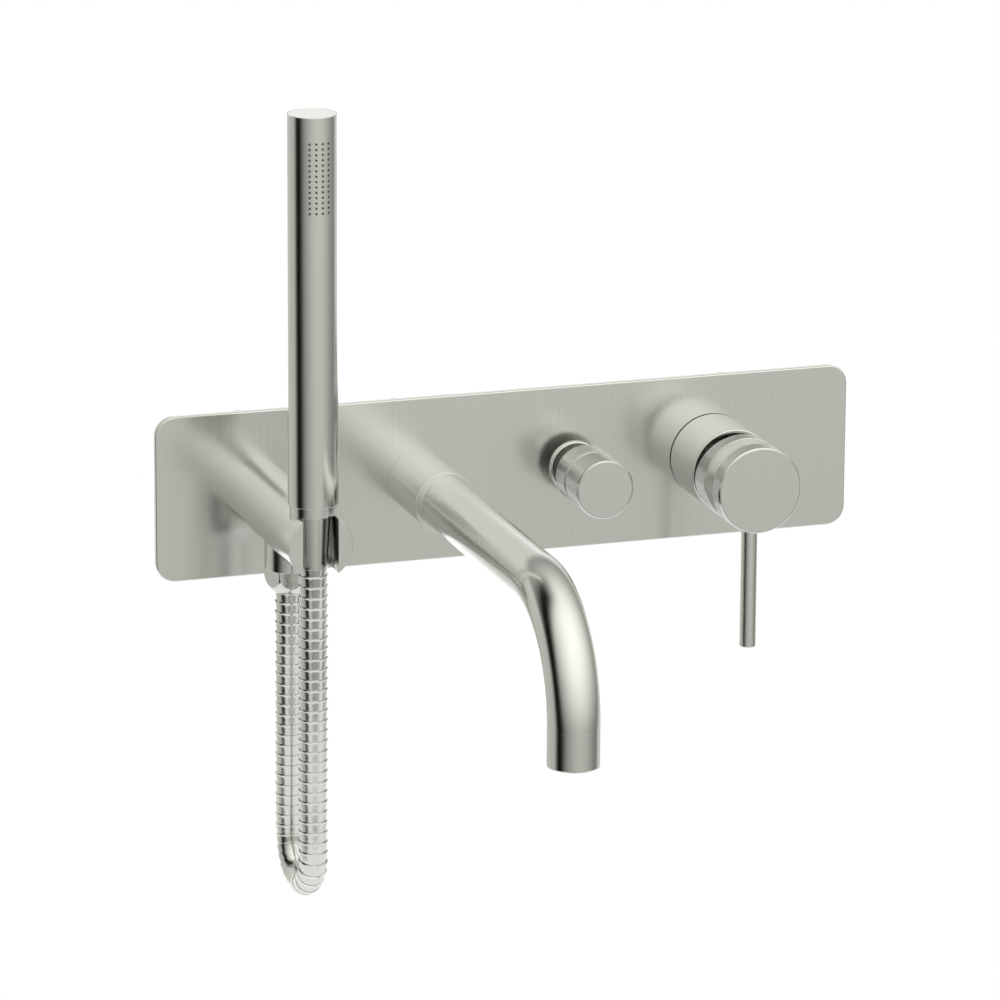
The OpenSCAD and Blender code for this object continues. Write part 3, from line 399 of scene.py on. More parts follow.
def turned(name, centre, axis, outline, closed=False, segments=128):
    """A turned piece about an axis through centre. Distances along the axis are measured from the origin."""
    axis = axis.normalized()
    across = Vector((1, 0, 0))
    third = axis.cross(across)
    foot = centre - axis * centre.dot(axis)
    points = softened(outline, closed)
    bm = bmesh.new()
    rings = []
    for radius, along in points:
        if radius < 1e-7:
            rings.append([bm.verts.new(foot + axis * along)])
            continue
        ring = []
        for i in range(segments):
            angle = 2 * math.pi * i / segments
            spoke = across * math.cos(angle) + third * math.sin(angle)
            ring.append(bm.verts.new(foot + axis * along + spoke * radius))
        rings.append(ring)
    pairs = list(zip(rings, rings[1:]))
    if closed:
        pairs.append((rings[-1], rings[0]))
    for a, b in pairs:
        if len(a) == len(b) == 1:
            continue
        for i in range(segments):
            j = (i + 1) % segments
            corners = [a[i % len(a)], a[j % len(a)], b[j % len(b)], b[i % len(b)]]
            bm.faces.new(list(dict.fromkeys(corners)))
    bmesh.ops.recalc_face_normals(bm, faces=bm.faces)
    mesh = bpy.data.meshes.new(name)
    bm.to_mesh(mesh)
    bm.free()
    return shaded(add_object(name, mesh), 40)


def disc(name, centre, axis, radius, start, end):
    """A face disc with a fine rounding on its front edge."""
    return turned(name, centre, axis, [
        (0, start, 0), (radius, start, 0), (radius, end, 0.00015), (0, end, 0)])


def plain_copy(name, node):
    """A merged copy of a node's mesh, with its flat faces whole again."""
    source = frame["nodes"][node].data
    mesh = bpy.data.meshes.new(name)
    mesh.from_pydata([v.co[:] for v in source.vertices], [], [p.vertices[:] for p in source.polygons])
    bm = bmesh.new()
    bm.from_mesh(mesh)
    bmesh.ops.remove_doubles(bm, verts=bm.verts, dist=2e-6)
    bmesh.ops.dissolve_limit(bm, angle_limit=math.radians(0.4), verts=bm.verts, edges=bm.edges)
    bm.to_mesh(mesh)
    bm.free()
    return add_object(name, mesh)


def result_of(obj):
    """The plain mesh that an object's modifiers give."""
    bpy.context.view_layer.update()
    graph = bpy.context.evaluated_depsgraph_get()
    return bpy.data.meshes.new_from_object(obj.evaluated_get(graph))


def evaluated(obj):
    """Replaces an object's mesh by the result of its modifiers."""
    mesh = result_of(obj)
    obj.modifiers.clear()
    obj.data = mesh
    return obj


def eased_copy(name, node, edge, steps=3):
    """A copy of a rigid node with its sharp edges rounded."""
    obj = plain_copy(name, node)
    bevel = obj.modifiers.new("edges", "BEVEL")
    bevel.width = edge
    bevel.segments = steps
    bevel.limit_method = "ANGLE"
    bevel.angle_limit = math.radians(35)
    bevel.use_clamp_overlap = True
    bevel.miter_outer = "MITER_ARC"
    return weighted(evaluated(obj))


def weighted(obj, crease=32):
    """Smooth shading whose normals follow the large faces, with edges over crease degrees kept sharp."""
    shaded(obj, crease)
    follow = obj.modifiers.new("normals", "WEIGHTED_NORMAL")
    follow.keep_sharp = True
    return evaluated(obj)


# ---------------------------------------------------------------- geometry trees

class Tree:
    """A geometry tree with named inputs, built node by node."""

    def __init__(self, name, sizes, takes_geometry=False):
        self.tree = bpy.data.node_groups.new(name, "GeometryNodeTree")
        face = self.tree.interface
        if takes_geometry:
            face.new_socket("Geometry", in_out="INPUT", socket_type="NodeSocketGeometry")
        for label, value in sizes.items():
            kind = "NodeSocketInt" if isinstance(value, int) else "NodeSocketFloat"
            face.new_socket(label, in_out="INPUT", socket_type=kind)
        face.new_socket("Geometry", in_out="OUTPUT", socket_type="NodeSocketGeometry")
        self.sizes = sizes
        self.result = None
        self.entry = self.tree.nodes.new("NodeGroupInput")
        self.exit = self.tree.nodes.new("NodeGroupOutput")

    def size(self, label):
        return Value(self.tree, self.entry.outputs[label])

    def add(self, kind, links=None, **settings):
        """A node: settings are its properties, and links its inputs by name or number."""
        node = self.tree.nodes.new(kind)
        for key, value in settings.items():
            setattr(node, key, value)
        for key, value in (links or {}).items():
            slot = node.inputs[key]
            if isinstance(value, Value):
                value = value.socket
            if isinstance(value, bpy.types.NodeSocket):
                self.tree.links.new(value, slot)
            else:
                slot.default_value = value
        return node

    def made(self, name, material, source=None):
        """Closes the tree with its material, runs it and returns the plain mesh object."""
        joined = self.add("GeometryNodeRealizeInstances", {"Geometry": self.result})
        painted = self.add("GeometryNodeSetMaterial", {"Geometry": joined.outputs[0], "Material": material})
        self.tree.links.new(painted.outputs[0], self.exit.inputs[0])
        carrier = source or add_object(name, bpy.data.meshes.new(name))
        modifier = carrier.modifiers.new("made", "NODES")
        modifier.node_group = self.tree
        for item in self.tree.interface.items_tree:
            if item.in_out == "INPUT" and item.name in self.sizes:
                modifier[item.identifier] = self.sizes[item.name]
        mesh = result_of(carrier)
        carrier.modifiers.clear()
        if carrier.type == "MESH":
            carrier.data = mesh
            return carrier
        bpy.data.objects.remove(carrier)
        return add_object(name, mesh)


# ---------------------------------------------------------------- hose

HOSE_D = 0.014
HOSE_MIDDLE = -0.0745           # between its two strands
HOSE_PITCH = 0.00534
HOSE_FOOT_R = 0.0066            # radius of a link at its lower edge
HOSE_LEAN = 0.0007              # how much it grows towards its upper edge
HOSE_FLARE = 0.0002             # how far that edge flares out
HOSE_ROUND = 0.0001             # how far the flare's rim is rounded off
HOSE_FLARE_POWER = 20.0         # how late the flare sets in, and how late its rounding does
HOSE_ROUND_POWER = 40.0
HOSE_RINGS = 24                 # rings along one link
# Centreline of the hose from the nut to the handset: (y, z) in millimetres, in the plane of the arm
HOSE_ROUTE = [(-54.5, -37), (-54.5, -60), (-54, -85), (-54, -110), (-53.5, -135), (-53.5, -163), (-55, -171),
              (-59.5, -177.5), (-66, -182), (-74, -183.5), (-82, -182), (-88.5, -177.5), (-93, -171),
              (-94.5, -163), (-94.5, -135), (-95, -110), (-95.5, -80), (-95.5, -50), (-96, -25), (-96, -13.5)]


def hose_line(steps=12):
    """Points close together on one smooth curve through the route."""
    knots = [Vector((ARM_X, y * MM, z * MM)) for y, z in HOSE_ROUTE]
    knots = [2 * knots[0] - knots[1]] + knots + [2 * knots[-1] - knots[-2]]
    line = []
    for a, b, c, d in zip(knots, knots[1:], knots[2:], knots[3:]):
        span = (c - b).length
        leave = (c - a) / ((c - b).length + (b - a).length) * span
        arrive = (d - b) / ((d - c).length + (c - b).length) * span
        for i in range(steps):
            t = i / steps
            line.append(b * (2 * t**3 - 3 * t**2 + 1) + leave * (t**3 - 2 * t**2 + t)
                        + c * (3 * t**2 - 2 * t**3) + arrive * (t**3 - t**2))
    line.append(knots[-2])
    return line


def make_hose():
    """The double lock hose: each link is a little wider at its upper edge, on both strands."""
    line = hose_line()
    data = bpy.data.curves.new("hose_line", "CURVE")
    data.dimensions = "3D"
    spline = data.splines.new("POLY")
    spline.points.add(len(line) - 1)
    for point, place in zip(spline.points, line):
        point.co = place[:] + (1,)
    curve = bpy.data.objects.new("hose_line", data)
    bpy.context.scene.collection.objects.link(curve)
    low = min(point.z for point in line) + HOSE_D
    lengths = [(b - a).length for a, b in zip(line, line[1:])]
    falling = sum(length for length, point in zip(lengths, line) if point.y > HOSE_MIDDLE and point.z > low)
    rising = sum(length for length, point in zip(lengths, line) if point.y < HOSE_MIDDLE and point.z > low)
    made = Tree("wound_hose", {
        "Foot": HOSE_FOOT_R, "Lean": HOSE_LEAN, "Flare": HOSE_FLARE, "Round": HOSE_ROUND, "Pitch": HOSE_PITCH,
        "Ring Step": HOSE_PITCH / HOSE_RINGS, "Sides": 36, "Bend Start": falling,
        "Bend End": sum(lengths) - rising}, True)
    even = made.add("GeometryNodeResampleCurve", {
        "Curve": made.entry.outputs["Geometry"], "Length": made.size("Ring Step")}, mode="LENGTH")
    along = Value(made.tree, made.add("GeometryNodeSplineParameter").outputs["Length"])
    turn = (along / made.size("Pitch")).fraction()
    upward = along.between(made.size("Bend Start"), made.size("Bend End"))
    up_link = 1.0 - turn - (1.0 - 2.0 * turn) * upward
    radius = (made.size("Foot") + made.size("Lean") * up_link
              + made.size("Flare") * up_link ** HOSE_FLARE_POWER
              - made.size("Round") * up_link ** HOSE_ROUND_POWER)
    ring = made.add("GeometryNodeCurvePrimitiveCircle", {"Resolution": made.size("Sides"), "Radius": 1.0})
    tube = made.add("GeometryNodeCurveToMesh", {"Curve": even.outputs[0], "Profile Curve": ring.outputs[0],
                                                "Scale": radius, "Fill Caps": True})
    smooth = made.add("GeometryNodeSetShadeSmooth", {"Geometry": tube.outputs[0]})
    made.result = smooth.outputs[0]
    hose = shaded(made.made("hose_shape", FINISHES["hose_metal"], curve), 60)
    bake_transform(hose)
    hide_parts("hose")


make_hose()


# ---------------------------------------------------------------- spout

SPOUT_BEND = 0.056              # bend radius of the centreline
SPOUT_TUCK = 0.010              # how far the tube reaches into its sleeve
SLEEVE_WALL = 0.004
AERATOR_RIM = 0.0022


def make_spout():
    """The spout's round tube, drawn in a little past its bend, its sleeve and the aerator's ring."""
    start = out_of("spout_sleeve")[1]
    joint = height_of("spout_tube")[0]
    made = Tree("drawn_spout", {
        "Straight": -middle("aerator_housing").y - SPOUT_BEND - start, "Bend Radius": SPOUT_BEND,
        "Radius": size("spout_tube").x / 2, "Tip Radius": size("aerator_housing").x / 2,
        "Start": start, "Joint": joint, "Sides": 128, "Rings": 220})
    rod = made.add("GeometryNodeMeshCylinder", {
        "Vertices": made.size("Sides"), "Side Segments": made.size("Rings"), "Radius": 1.0, "Depth": 1.0})
    x, y, z = parts_of(made.tree, made.add("GeometryNodeInputPosition").outputs[0])
    straight, bend = made.size("Straight"), made.size("Bend Radius")
    turn_length = bend * (math.pi / 2)
    drop = 0.0 - bend - made.size("Joint")
    along = (z + 0.5) * (straight + turn_length + drop + SPOUT_TUCK) - SPOUT_TUCK
    turn = ((along - straight) / turn_length).at_least(0.0).at_most(1.0)
    fall = (along - straight - turn_length).at_least(0.0)
    dip = turn * (math.pi / 2)
    radius = made.size("Radius") + (made.size("Tip Radius") - made.size("Radius")) * turn.eased()
    out = made.size("Start") + along.at_most(straight) + bend * dip.sin()
    high = 0.0 - bend * (1.0 - dip.cos()) - fall
    place = vector_of(made.tree, x * radius + SPOUT_X, -(out + y * radius * dip.sin()),
                      high + y * radius * dip.cos())
    swept = made.add("GeometryNodeSetPosition", {"Geometry": rod.outputs["Mesh"], "Position": place})
    smooth = made.add("GeometryNodeSetShadeSmooth", {"Geometry": swept.outputs[0]})
    made.result = smooth.outputs[0]
    spout = shaded(made.made("spout_shape", FINISHES["satin_metal"]), 50)
    dress(spout, "root", "satin_metal", "spout_tube")

    r = size("spout_sleeve").x / 2
    sleeve = turned("spout_sleeve_shape", Vector((SPOUT_X, 0, 0)), OUT, [
        (r - SLEEVE_WALL, PLATE_FACE, 0), (r, PLATE_FACE, 0.0002), (r, start, 0.0004),
        (r - SLEEVE_WALL, start, 0)], closed=True)
    dress(sleeve, "root", "satin_metal", "spout_sleeve")

    low = height_of("aerator_housing")[0]
    tip_r = size("aerator_housing").x / 2
    ring = turned("aerator_ring", middle("aerator_housing"), UP, [
        (tip_r, joint, 0.00006), (tip_r, low, 0.0010), (tip_r - AERATOR_RIM, low, 0.0003),
        (tip_r - AERATOR_RIM, joint, 0)], closed=True)
    dress(ring, "root", "satin_metal", "aerator_housing")


# ---------------------------------------------------------------- handset

NOZZLE_ROWS = 14
NOZZLE_COLUMNS = 4
NOZZLE_PITCH = 0.00265
NOZZLE_STEP = math.radians(15)
NOZZLE_HOLE_R = 0.00065
NOZZLE_HOLE_DEPTH = 0.003
NOZZLE_TIP_R = 0.0005
NOZZLE_TIP_LEN = 0.0012
NOZZLE_TIP_SINK = 0.0008        # how far a tip's middle lies below the tube's surface
NOZZLE_TOP = 0.2025
FERRULE_BORE_R = 0.0045
FERRULE_TIP_R = 0.0071
FERRULE_TOP_R = 0.0085
COLLAR_BORE_R = FERRULE_TOP_R + 0.0003


def nozzle_rods(made, radius, depth, reach):
    """Small rods square to the tube, in a grid on its front."""
    rows, step, pitch = made.size("Rows"), made.size("Step"), made.size("Pitch")
    points = made.add("GeometryNodePoints", {"Count": (rows * made.size("Columns")).socket})
    index = Value(made.tree, made.add("GeometryNodeInputIndex").outputs[0])
    row = index.modulo(rows)
    column = ((index + 0.5) / rows).floor()
    angle = (column - (made.size("Columns") - 1.0) / 2.0) * step
    centre = middle("handset_tube")
    place = vector_of(made.tree, angle.sin() * reach + centre.x, centre.y - angle.cos() * reach,
                      made.size("Top") - row * pitch)
    moved = made.add("GeometryNodeSetPosition", {"Geometry": points.outputs[0], "Position": place})
    facing = made.add("FunctionNodeAlignRotationToVector",
                      {"Vector": vector_of(made.tree, angle.sin(), -angle.cos(), 0.0)}, axis="Z")
    rod = made.add("GeometryNodeMeshCylinder", {"Vertices": 16, "Radius": radius, "Depth": depth})
    return made.add("GeometryNodeInstanceOnPoints", {
        "Points": moved.outputs[0], "Instance": rod.outputs["Mesh"], "Rotation": facing.outputs[0]})


def make_handset():
    """The tube with its drilled front, the rubber nozzles, the end disc, the collar and the hose's cone."""
    sizes = {"Rows": NOZZLE_ROWS, "Columns": NOZZLE_COLUMNS, "Pitch": NOZZLE_PITCH, "Step": NOZZLE_STEP,
             "Top": NOZZLE_TOP}
    centre = middle("handset_tube")
    low, high = height_of("handset_tube")
    r = size("handset_tube").x / 2
    cap_low, cap_high = height_of("handset_cap")
    cap_r = size("handset_cap").x / 2
    tube = turned("handset_shape", centre, UP, [
        (0, low, 0), (r, low, 0.0003), (r, high, 0.0005), (cap_r + FACE_GAP, high, 0.0001),
        (cap_r + FACE_GAP, cap_low, 0), (0, cap_low, 0)])
    drill = Tree("drilled_tube", sizes, True)
    rods = nozzle_rods(drill, NOZZLE_HOLE_R, NOZZLE_HOLE_DEPTH, r)
    solid = drill.add("GeometryNodeRealizeInstances", {"Geometry": rods.outputs[0]})
    holes = drill.add("GeometryNodeMeshBoolean", operation="DIFFERENCE", solver="EXACT")
    drill.tree.links.new(drill.entry.outputs["Geometry"], holes.inputs["Mesh 1"])
    drill.tree.links.new(solid.outputs[0], holes.inputs["Mesh 2"])
    drill.result = holes.outputs[0]
    tube = shaded(drill.made("handset_shape", FINISHES["satin_metal"], tube), 40)
    dress(tube, "handset", "satin_metal", "handset_tube")

    tips = Tree("nozzle_grid", sizes)
    tips.result = nozzle_rods(tips, NOZZLE_TIP_R, NOZZLE_TIP_LEN, r - NOZZLE_TIP_SINK).outputs[0]
    pins = tips.made("nozzle_tips", FINISHES["nozzle_rubber"])
    dress(pins, "handset", "nozzle_rubber", "nozzle_liner")

    face = disc("handset_end", centre, UP, cap_r, cap_low, cap_high)
    dress(face, "handset", "face_metal", "handset_cap")

    seat = height_of("handset_collar")[0]
    neck_r = size("handset_collar").x / 2
    collar = turned("collar_shape", centre, UP, [
        (COLLAR_BORE_R, seat, 0), (neck_r, seat, 0.0001), (neck_r, low, 0),
        (COLLAR_BORE_R, low, 0)], closed=True)
    dress(collar, "handset", "satin_metal", "handset_collar")

    tip, top = height_of("hose_ferrule")
    cone = turned("ferrule_shape", centre, UP, [
        (FERRULE_BORE_R, tip, 0), (FERRULE_TIP_R, tip, 0.0003), (FERRULE_TOP_R, seat, 0),
        (FERRULE_TOP_R, top, 0), (FERRULE_BORE_R, top, 0)], closed=True)
    dress(cone, "hose_end", "satin_metal", "hose_ferrule")


# ---------------------------------------------------------------- knobs

KNURL_DEPTH = 0.00015
KNURL_TIP = 0.42                # width of a pyramid's flat tip, of its base
DIVERTER_COLUMNS = 116          # pyramids around the diverter knob
DIVERTER_BORE_R = 0.0085
DIVERTER_GROOVE = (0.0138, 0.0158)      # start and end of the groove, from the knob's back
DIVERTER_GROOVE_DEPTH = 0.0006


def knurl(name, x, radius, start, end, columns, rows, relief=0.0):
    """Interleaved rows of small pyramids around a knob, from start to end away from the wall.

    relief is the slope of a cut that takes them off its upper back edge."""
    made = Tree(name, {"Radius": radius, "Depth": KNURL_DEPTH, "Start": start, "End": end, "Tip": KNURL_TIP,
                       "Relief": relief, "Columns": columns, "Rows": rows})
    rows_in, columns_in = made.size("Rows"), made.size("Columns")
    points = made.add("GeometryNodePoints", {"Count": (rows_in * columns_in).socket})
    index = Value(made.tree, made.add("GeometryNodeInputIndex").outputs[0])
    row = index.modulo(rows_in)
    column = ((index + 0.5) / rows_in).floor()
    angle = (column + row.modulo(2.0) * 0.5) * (2 * math.pi) / columns_in
    half_length = (made.size("End") - made.size("Start")) / (rows_in + 1.0)
    along = made.size("Start") + half_length * (row + 1.0)
    base = made.size("Radius") - made.size("Depth")
    place = vector_of(made.tree, angle.cos() * base + x, -along, angle.sin() * base)
    moved = made.add("GeometryNodeSetPosition", {"Geometry": points.outputs[0], "Position": place})
    facing = made.add("FunctionNodeAxesToRotation", {
        "Primary Axis": vector_of(made.tree, angle.cos(), 0.0, angle.sin()),
        "Secondary Axis": vector_of(made.tree, -angle.sin(), 0.0, angle.cos())},
        primary_axis="Z", secondary_axis="X")
    pyramid = made.add("GeometryNodeMeshCone", {
        "Vertices": 4, "Radius Top": made.size("Tip"), "Radius Bottom": 1.0, "Depth": 1.0})
    half_width = base * math.pi / columns_in
    grown = vector_of(made.tree, half_width, half_length, made.size("Depth"))
    height = (angle.sin() * base).at_least(0.0)
    whole = (along - half_length - made.size("Start")).above(height * made.size("Relief") - 1e-6)
    many = made.add("GeometryNodeInstanceOnPoints", {
        "Points": moved.outputs[0], "Instance": pyramid.outputs["Mesh"], "Rotation": facing.outputs[0],
        "Scale": grown, "Selection": whole.socket})
    made.result = many.outputs[0]
    return made.made(name, FINISHES["knurled_metal"])


def make_diverter():
    """The diverter's foot ring, its knurled knob with a turned groove, and the face disc."""
    near, far = out_of("diverter_collar")
    r = size("diverter_collar").x / 2
    foot = turned("diverter_foot", Vector((DIVERTER_X, 0, 0)), OUT, [
        (DIVERTER_BORE_R, near, 0), (r, near, 0), (r, far, 0.0006),
        (DIVERTER_BORE_R, far, 0.0002)], closed=True)
    dress(foot, "root", "satin_metal", "diverter_collar")

    near, far = out_of("diverter_knob")
    r = size("diverter_knob").x / 2
    face_near, face_far = out_of("diverter_cap")
    face_r = size("diverter_cap").x / 2
    lip = face_r + FACE_GAP
    groove, groove_end = [near + place for place in DIVERTER_GROOVE]
    groove_r = r - DIVERTER_GROOVE_DEPTH
    sunk = r - KNURL_DEPTH
    body = turned("diverter_body", Vector((DIVERTER_X, 0, 0)), OUT, [
        (0, near, 0), (sunk - 0.0003, near, 0), (sunk, near + 0.0004, 0.0001),
        (sunk, groove - 0.0003, 0), (r, groove - 0.0003, 0.0001), (r, groove, 0.0001),
        (groove_r, groove, 0.0002), (groove_r, groove_end, 0.0002), (r, groove_end, 0.0001),
        (r, groove_end + 0.0003, 0.0001), (sunk, groove_end + 0.0003, 0), (sunk, far - 0.0014, 0),
        (r, far - 0.0012, 0.0001), (r, far - 0.0008, 0.0002), (lip + 0.0003, far, 0.0002),
        (lip, far, 0.0001), (lip, face_near, 0), (0, face_near, 0)])
    dress(body, "diverter", "knurled_metal", "diverter_knob")
    for name, start, end, rows in (("diverter_knurl_back", near + 0.0004, groove - 0.0003, 33),
                                   ("diverter_knurl_front", groove_end + 0.0003, far - 0.0013, 39)):
        band = knurl(name, DIVERTER_X, r, start, end, DIVERTER_COLUMNS, rows)
        dress(band, "diverter", "knurled_metal")

    face = disc("diverter_face", Vector((DIVERTER_X, 0, 0)), OUT, face_r, face_near, face_far)
    dress(face, "diverter", "face_metal", "diverter_cap")


MIXER_BACK_BAND = 0.0145        # lengths of the knob's bands, from the back
MIXER_SMOOTH_BAND = 0.011
MIXER_BAND_STEP = 0.0004
MIXER_POCKET_R = 0.016
MIXER_POCKET_DEPTH = 0.013
MIXER_RELIEF = math.radians(16)
RELIEF_BLOCK = 0.1              # edge of the block that makes the relief cut
SKIRT_WALL = 0.0018             # wall of the sleeve, and depth and width of the groove at its foot
SKIRT_GROOVE = (0.0009, 0.0008)
LEVER_ROOT_Z = -0.018           # where the lever enters the knob


def cut_relief(knob, near):
    """Cuts the upper back edge of the mixer knob off obliquely."""
    bm = bmesh.new()
    bmesh.ops.create_cube(bm, size=RELIEF_BLOCK)
    bmesh.ops.translate(bm, verts=bm.verts, vec=(0, RELIEF_BLOCK / 2, RELIEF_BLOCK / 2))
    bmesh.ops.rotate(bm, verts=bm.verts, matrix=Matrix.Rotation(MIXER_RELIEF, 3, "X"))
    bmesh.ops.translate(bm, verts=bm.verts, vec=(MIXER_X, -near, 0))
    mesh = bpy.data.meshes.new("relief_cut")
    bm.to_mesh(mesh)
    bm.free()
    wedge = add_object("relief_cut", mesh)
    joined_with(knob, wedge, "DIFFERENCE")


def make_mixer():
    """The mixer's sleeve, banded knob, face disc and pin lever."""
    near, far = out_of("mixer_sleeve")
    r = size("mixer_sleeve").x / 2
    foot_r, foot = r - SKIRT_GROOVE[0], near + SKIRT_GROOVE[1]
    sleeve = turned("mixer_skirt", Vector((MIXER_X, 0, 0)), OUT, [
        (r - SKIRT_WALL, near, 0), (foot_r, near, 0), (foot_r, foot, 0), (r, foot, 0.0001),
        (r, far, 0.0009), (r - SKIRT_WALL, far, 0.0002)], closed=True)
    dress(sleeve, "root", "satin_metal", "mixer_sleeve")

    face_near, face_far = out_of("mixer_cap")
    face_r = size("mixer_cap").x / 2
    face = disc("mixer_face", Vector((MIXER_X, 0, 0)), OUT, face_r, face_near, face_far)
    dress(face, "mixer_handle", "face_metal", "mixer_cap")

    near, far = out_of("mixer_knob")
    lip = face_r + FACE_GAP
    r = size("mixer_knob").x / 2
    sunk = r - KNURL_DEPTH
    smooth_r = r - MIXER_BAND_STEP
    smooth, front = near + MIXER_BACK_BAND, near + MIXER_BACK_BAND + MIXER_SMOOTH_BAND
    knob = turned("mixer_body", Vector((MIXER_X, 0, 0)), OUT, [
        (MIXER_POCKET_R, near, 0), (sunk, near, 0), (sunk, smooth - 0.0002, 0), (smooth_r, smooth, 0.0001),
        (smooth_r, front, 0.0001), (sunk, front + 0.0002, 0), (sunk, far - 0.0012, 0),
        (r, far - 0.0010, 0.0001), (r, far - 0.0008, 0.0001), (lip + 0.0002, far, 0.0002),
        (lip, far, 0.0001), (lip, face_near, 0), (0, face_near, 0), (0, near + MIXER_POCKET_DEPTH, 0),
        (MIXER_POCKET_R, near + MIXER_POCKET_DEPTH, 0)], closed=True)
    cut_relief(knob, near)
    dress(knob, "mixer_handle", "knurled_metal", "mixer_knob")
    slope = math.tan(MIXER_RELIEF)
    for name, start, end, columns, rows, relief in (
            ("mixer_knurl_back", near, smooth - 0.0002, 150, 29, slope),
            ("mixer_knurl_front", front + 0.0002, far - 0.0011, 170, 21, 0.0)):
        band = knurl(name, MIXER_X, r, start, end, columns, rows, relief)
        dress(band, "mixer_handle", "knurled_metal")

    low = height_of("mixer_lever")[0]
    r = size("mixer_lever").x / 2
    lever = turned("lever_pin", middle("mixer_lever"), UP, [
        (0, low, 0), (r, low, 0.0006), (r, LEVER_ROOT_Z, 0), (0, LEVER_ROOT_Z, 0)], segments=64)
    dress(lever, "mixer_handle", "satin_metal", "mixer_lever")


# ---------------------------------------------------------------- arm, plate and hose nut

OUTLET_R = 0.0126
CRADLE_R = 0.0092
LIP_GAP = 0.00005               # thin line between the lip and the hand shower's collar
SEAT_GAP = 0.0003               # clearance around the collar's seat
CLEAR_OF_ARM = 0.03             # height at which a cut is clear of the arm
PAST_THE_END = 0.01             # how far the slot's cut runs past the arm's end


def prism(name, outline, low, high):
    """A closed upright prism over an outline of (x, y) points."""
    bm = bmesh.new()
    face = bm.faces.new([bm.verts.new((x, y, low)) for x, y in outline])
    raised = bmesh.ops.extrude_face_region(bm, geom=[face])["geom"]
    corners = [v for v in raised if isinstance(v, bmesh.types.BMVert)]
    bmesh.ops.translate(bm, verts=corners, vec=(0, 0, high - low))
    bmesh.ops.recalc_face_normals(bm, faces=bm.faces)
    mesh = bpy.data.meshes.new(name)
    bm.to_mesh(mesh)
    bm.free()
    return add_object(name, mesh)


def joined_with(obj, other, operation):
    """Adds another closed solid to obj, or cuts it away, and deletes it."""
    step = obj.modifiers.new("step", "BOOLEAN")
    step.operation = operation
    step.solver = "EXACT"
    step.object = other
    evaluated(obj)
    bpy.data.objects.remove(other)
    shaded(obj, 35)


def make_arm():
    """The shower arm: a bar with the hose outlet below it, and a cradle with lip and seat at its end."""
    near, far = out_of("holder_arm")
    r = size("holder_arm").x / 2
    nut_y = middle("hose_nut").y
    cradle_y = middle("handset_tube").y
    lip_r = size("handset_collar").x / 2
    rim = height_of("handset_collar")[0] - LIP_GAP
    foot = height_of("holder_arm")[0]
    arm = turned("arm_shape", Vector((ARM_X, 0, 0)), OUT, [
        (0, near, 0), (r, near, 0), (r, far, 0.0003), (0, far, 0)], segments=192)
    outlet = turned("outlet", Vector((ARM_X, nut_y, 0)), UP, [
        (0, foot, 0), (OUTLET_R, foot, 0.0003), (OUTLET_R, 0, 0), (0, 0, 0)])
    lip = turned("lip", Vector((ARM_X, cradle_y, 0)), UP, [
        (0, 0, 0), (lip_r, 0, 0), (lip_r, rim, 0), (0, rim, 0)])
    round_back = [math.pi * i / 48 for i in range(49)]
    slot = [(ARM_X + CRADLE_R * math.cos(a), cradle_y + CRADLE_R * math.sin(a)) for a in round_back]
    slot += [(ARM_X + side * CRADLE_R, -far - PAST_THE_END) for side in (-1, 1)]
    joined_with(arm, outlet, "UNION")
    joined_with(arm, lip, "UNION")
    seat_r = lip_r + SEAT_GAP
    seat = turned("seat", Vector((ARM_X, cradle_y, 0)), UP, [
        (0, rim, 0), (seat_r, rim, 0), (seat_r, CLEAR_OF_ARM, 0), (0, CLEAR_OF_ARM, 0)])
    joined_with(arm, seat, "DIFFERENCE")
    joined_with(arm, prism("slot", slot, -CLEAR_OF_ARM, CLEAR_OF_ARM), "DIFFERENCE")
    dress(arm, "root", "satin_metal", "holder_arm")


EASED = {                        # rigid nodes shown as copies with rounded edges: body, slot, edge
    "backplate": ("root", "brushed_metal", 0.0009),
    "hose_nut": ("root", "satin_metal", 0.0002),
}


def make_eased():
    """The nodes in EASED as copies with rounded edges."""
    for node, (body, slot, edge) in EASED.items():
        dress(eased_copy(node + "_shape", node, edge), body, slot, node)


OWN_FINISH = {                   # nodes whose finish is another than that of their slot
    # The near black finish below is painted shade: the bonnet, spindle and cartridge nut sit in the dark gaps
    # behind the knobs
    "diverter_bonnet": "painted_shade_metal",
    "diverter_spindle": "painted_shade_metal",
    "cartridge_nut": "painted_shade_metal",
    "flush_plugs": "satin_metal",
}


def paint_the_rest():
    """Every other node keeps its own shape and takes the finish of its slot."""
    for row in frame["record"]["subparts"]:
        node = frame["nodes"][row["node"]]
        node.data.materials.clear()
        node.data.materials.append(FINISHES[OWN_FINISH.get(row["node"], row["material_slot"])])


# ---------------------------------------------------------------- light and floor

# Soft lights of the studio: azimuth from straight out, to the right; elevation; cosine where the glow
# starts; cosine where it would be full; strength
STUDIO = [
    (11, 48, -0.575, 3.5, 4.16),
    (192, -48, 0.06, 0.30, 0.57),
    (153, 34, -0.24, 0.82, 0.194),
]
# Dark band between them on the left: azimuth and elevation of its axis, cosine of its middle, its inner
# and outer half width, and how far left of the middle it starts and is full
DARK_BAND = (169, -24, -0.185, 0.08, 0.42, -0.17, 0.55)
BACKDROP = (161.5, -15.65)      # middle of the white backdrop behind the faucet
BACKDROP_EDGE = (0.80, 0.95)    # cosines at which it starts and is whole
BACKDROP_GAIN = 0.4             # how much brighter than white the metal sees it
STUDIO_TINT = (1.0, 1.0, 0.94)
FLOOR_Z = -0.60
FLOOR_HALF = 0.8


def toward(azimuth, elevation):
    """Direction with that azimuth from straight out and that elevation, in degrees."""
    a, e = math.radians(azimuth), math.radians(elevation)
    return (math.sin(a) * math.cos(e), -math.cos(a) * math.cos(e), math.sin(e))


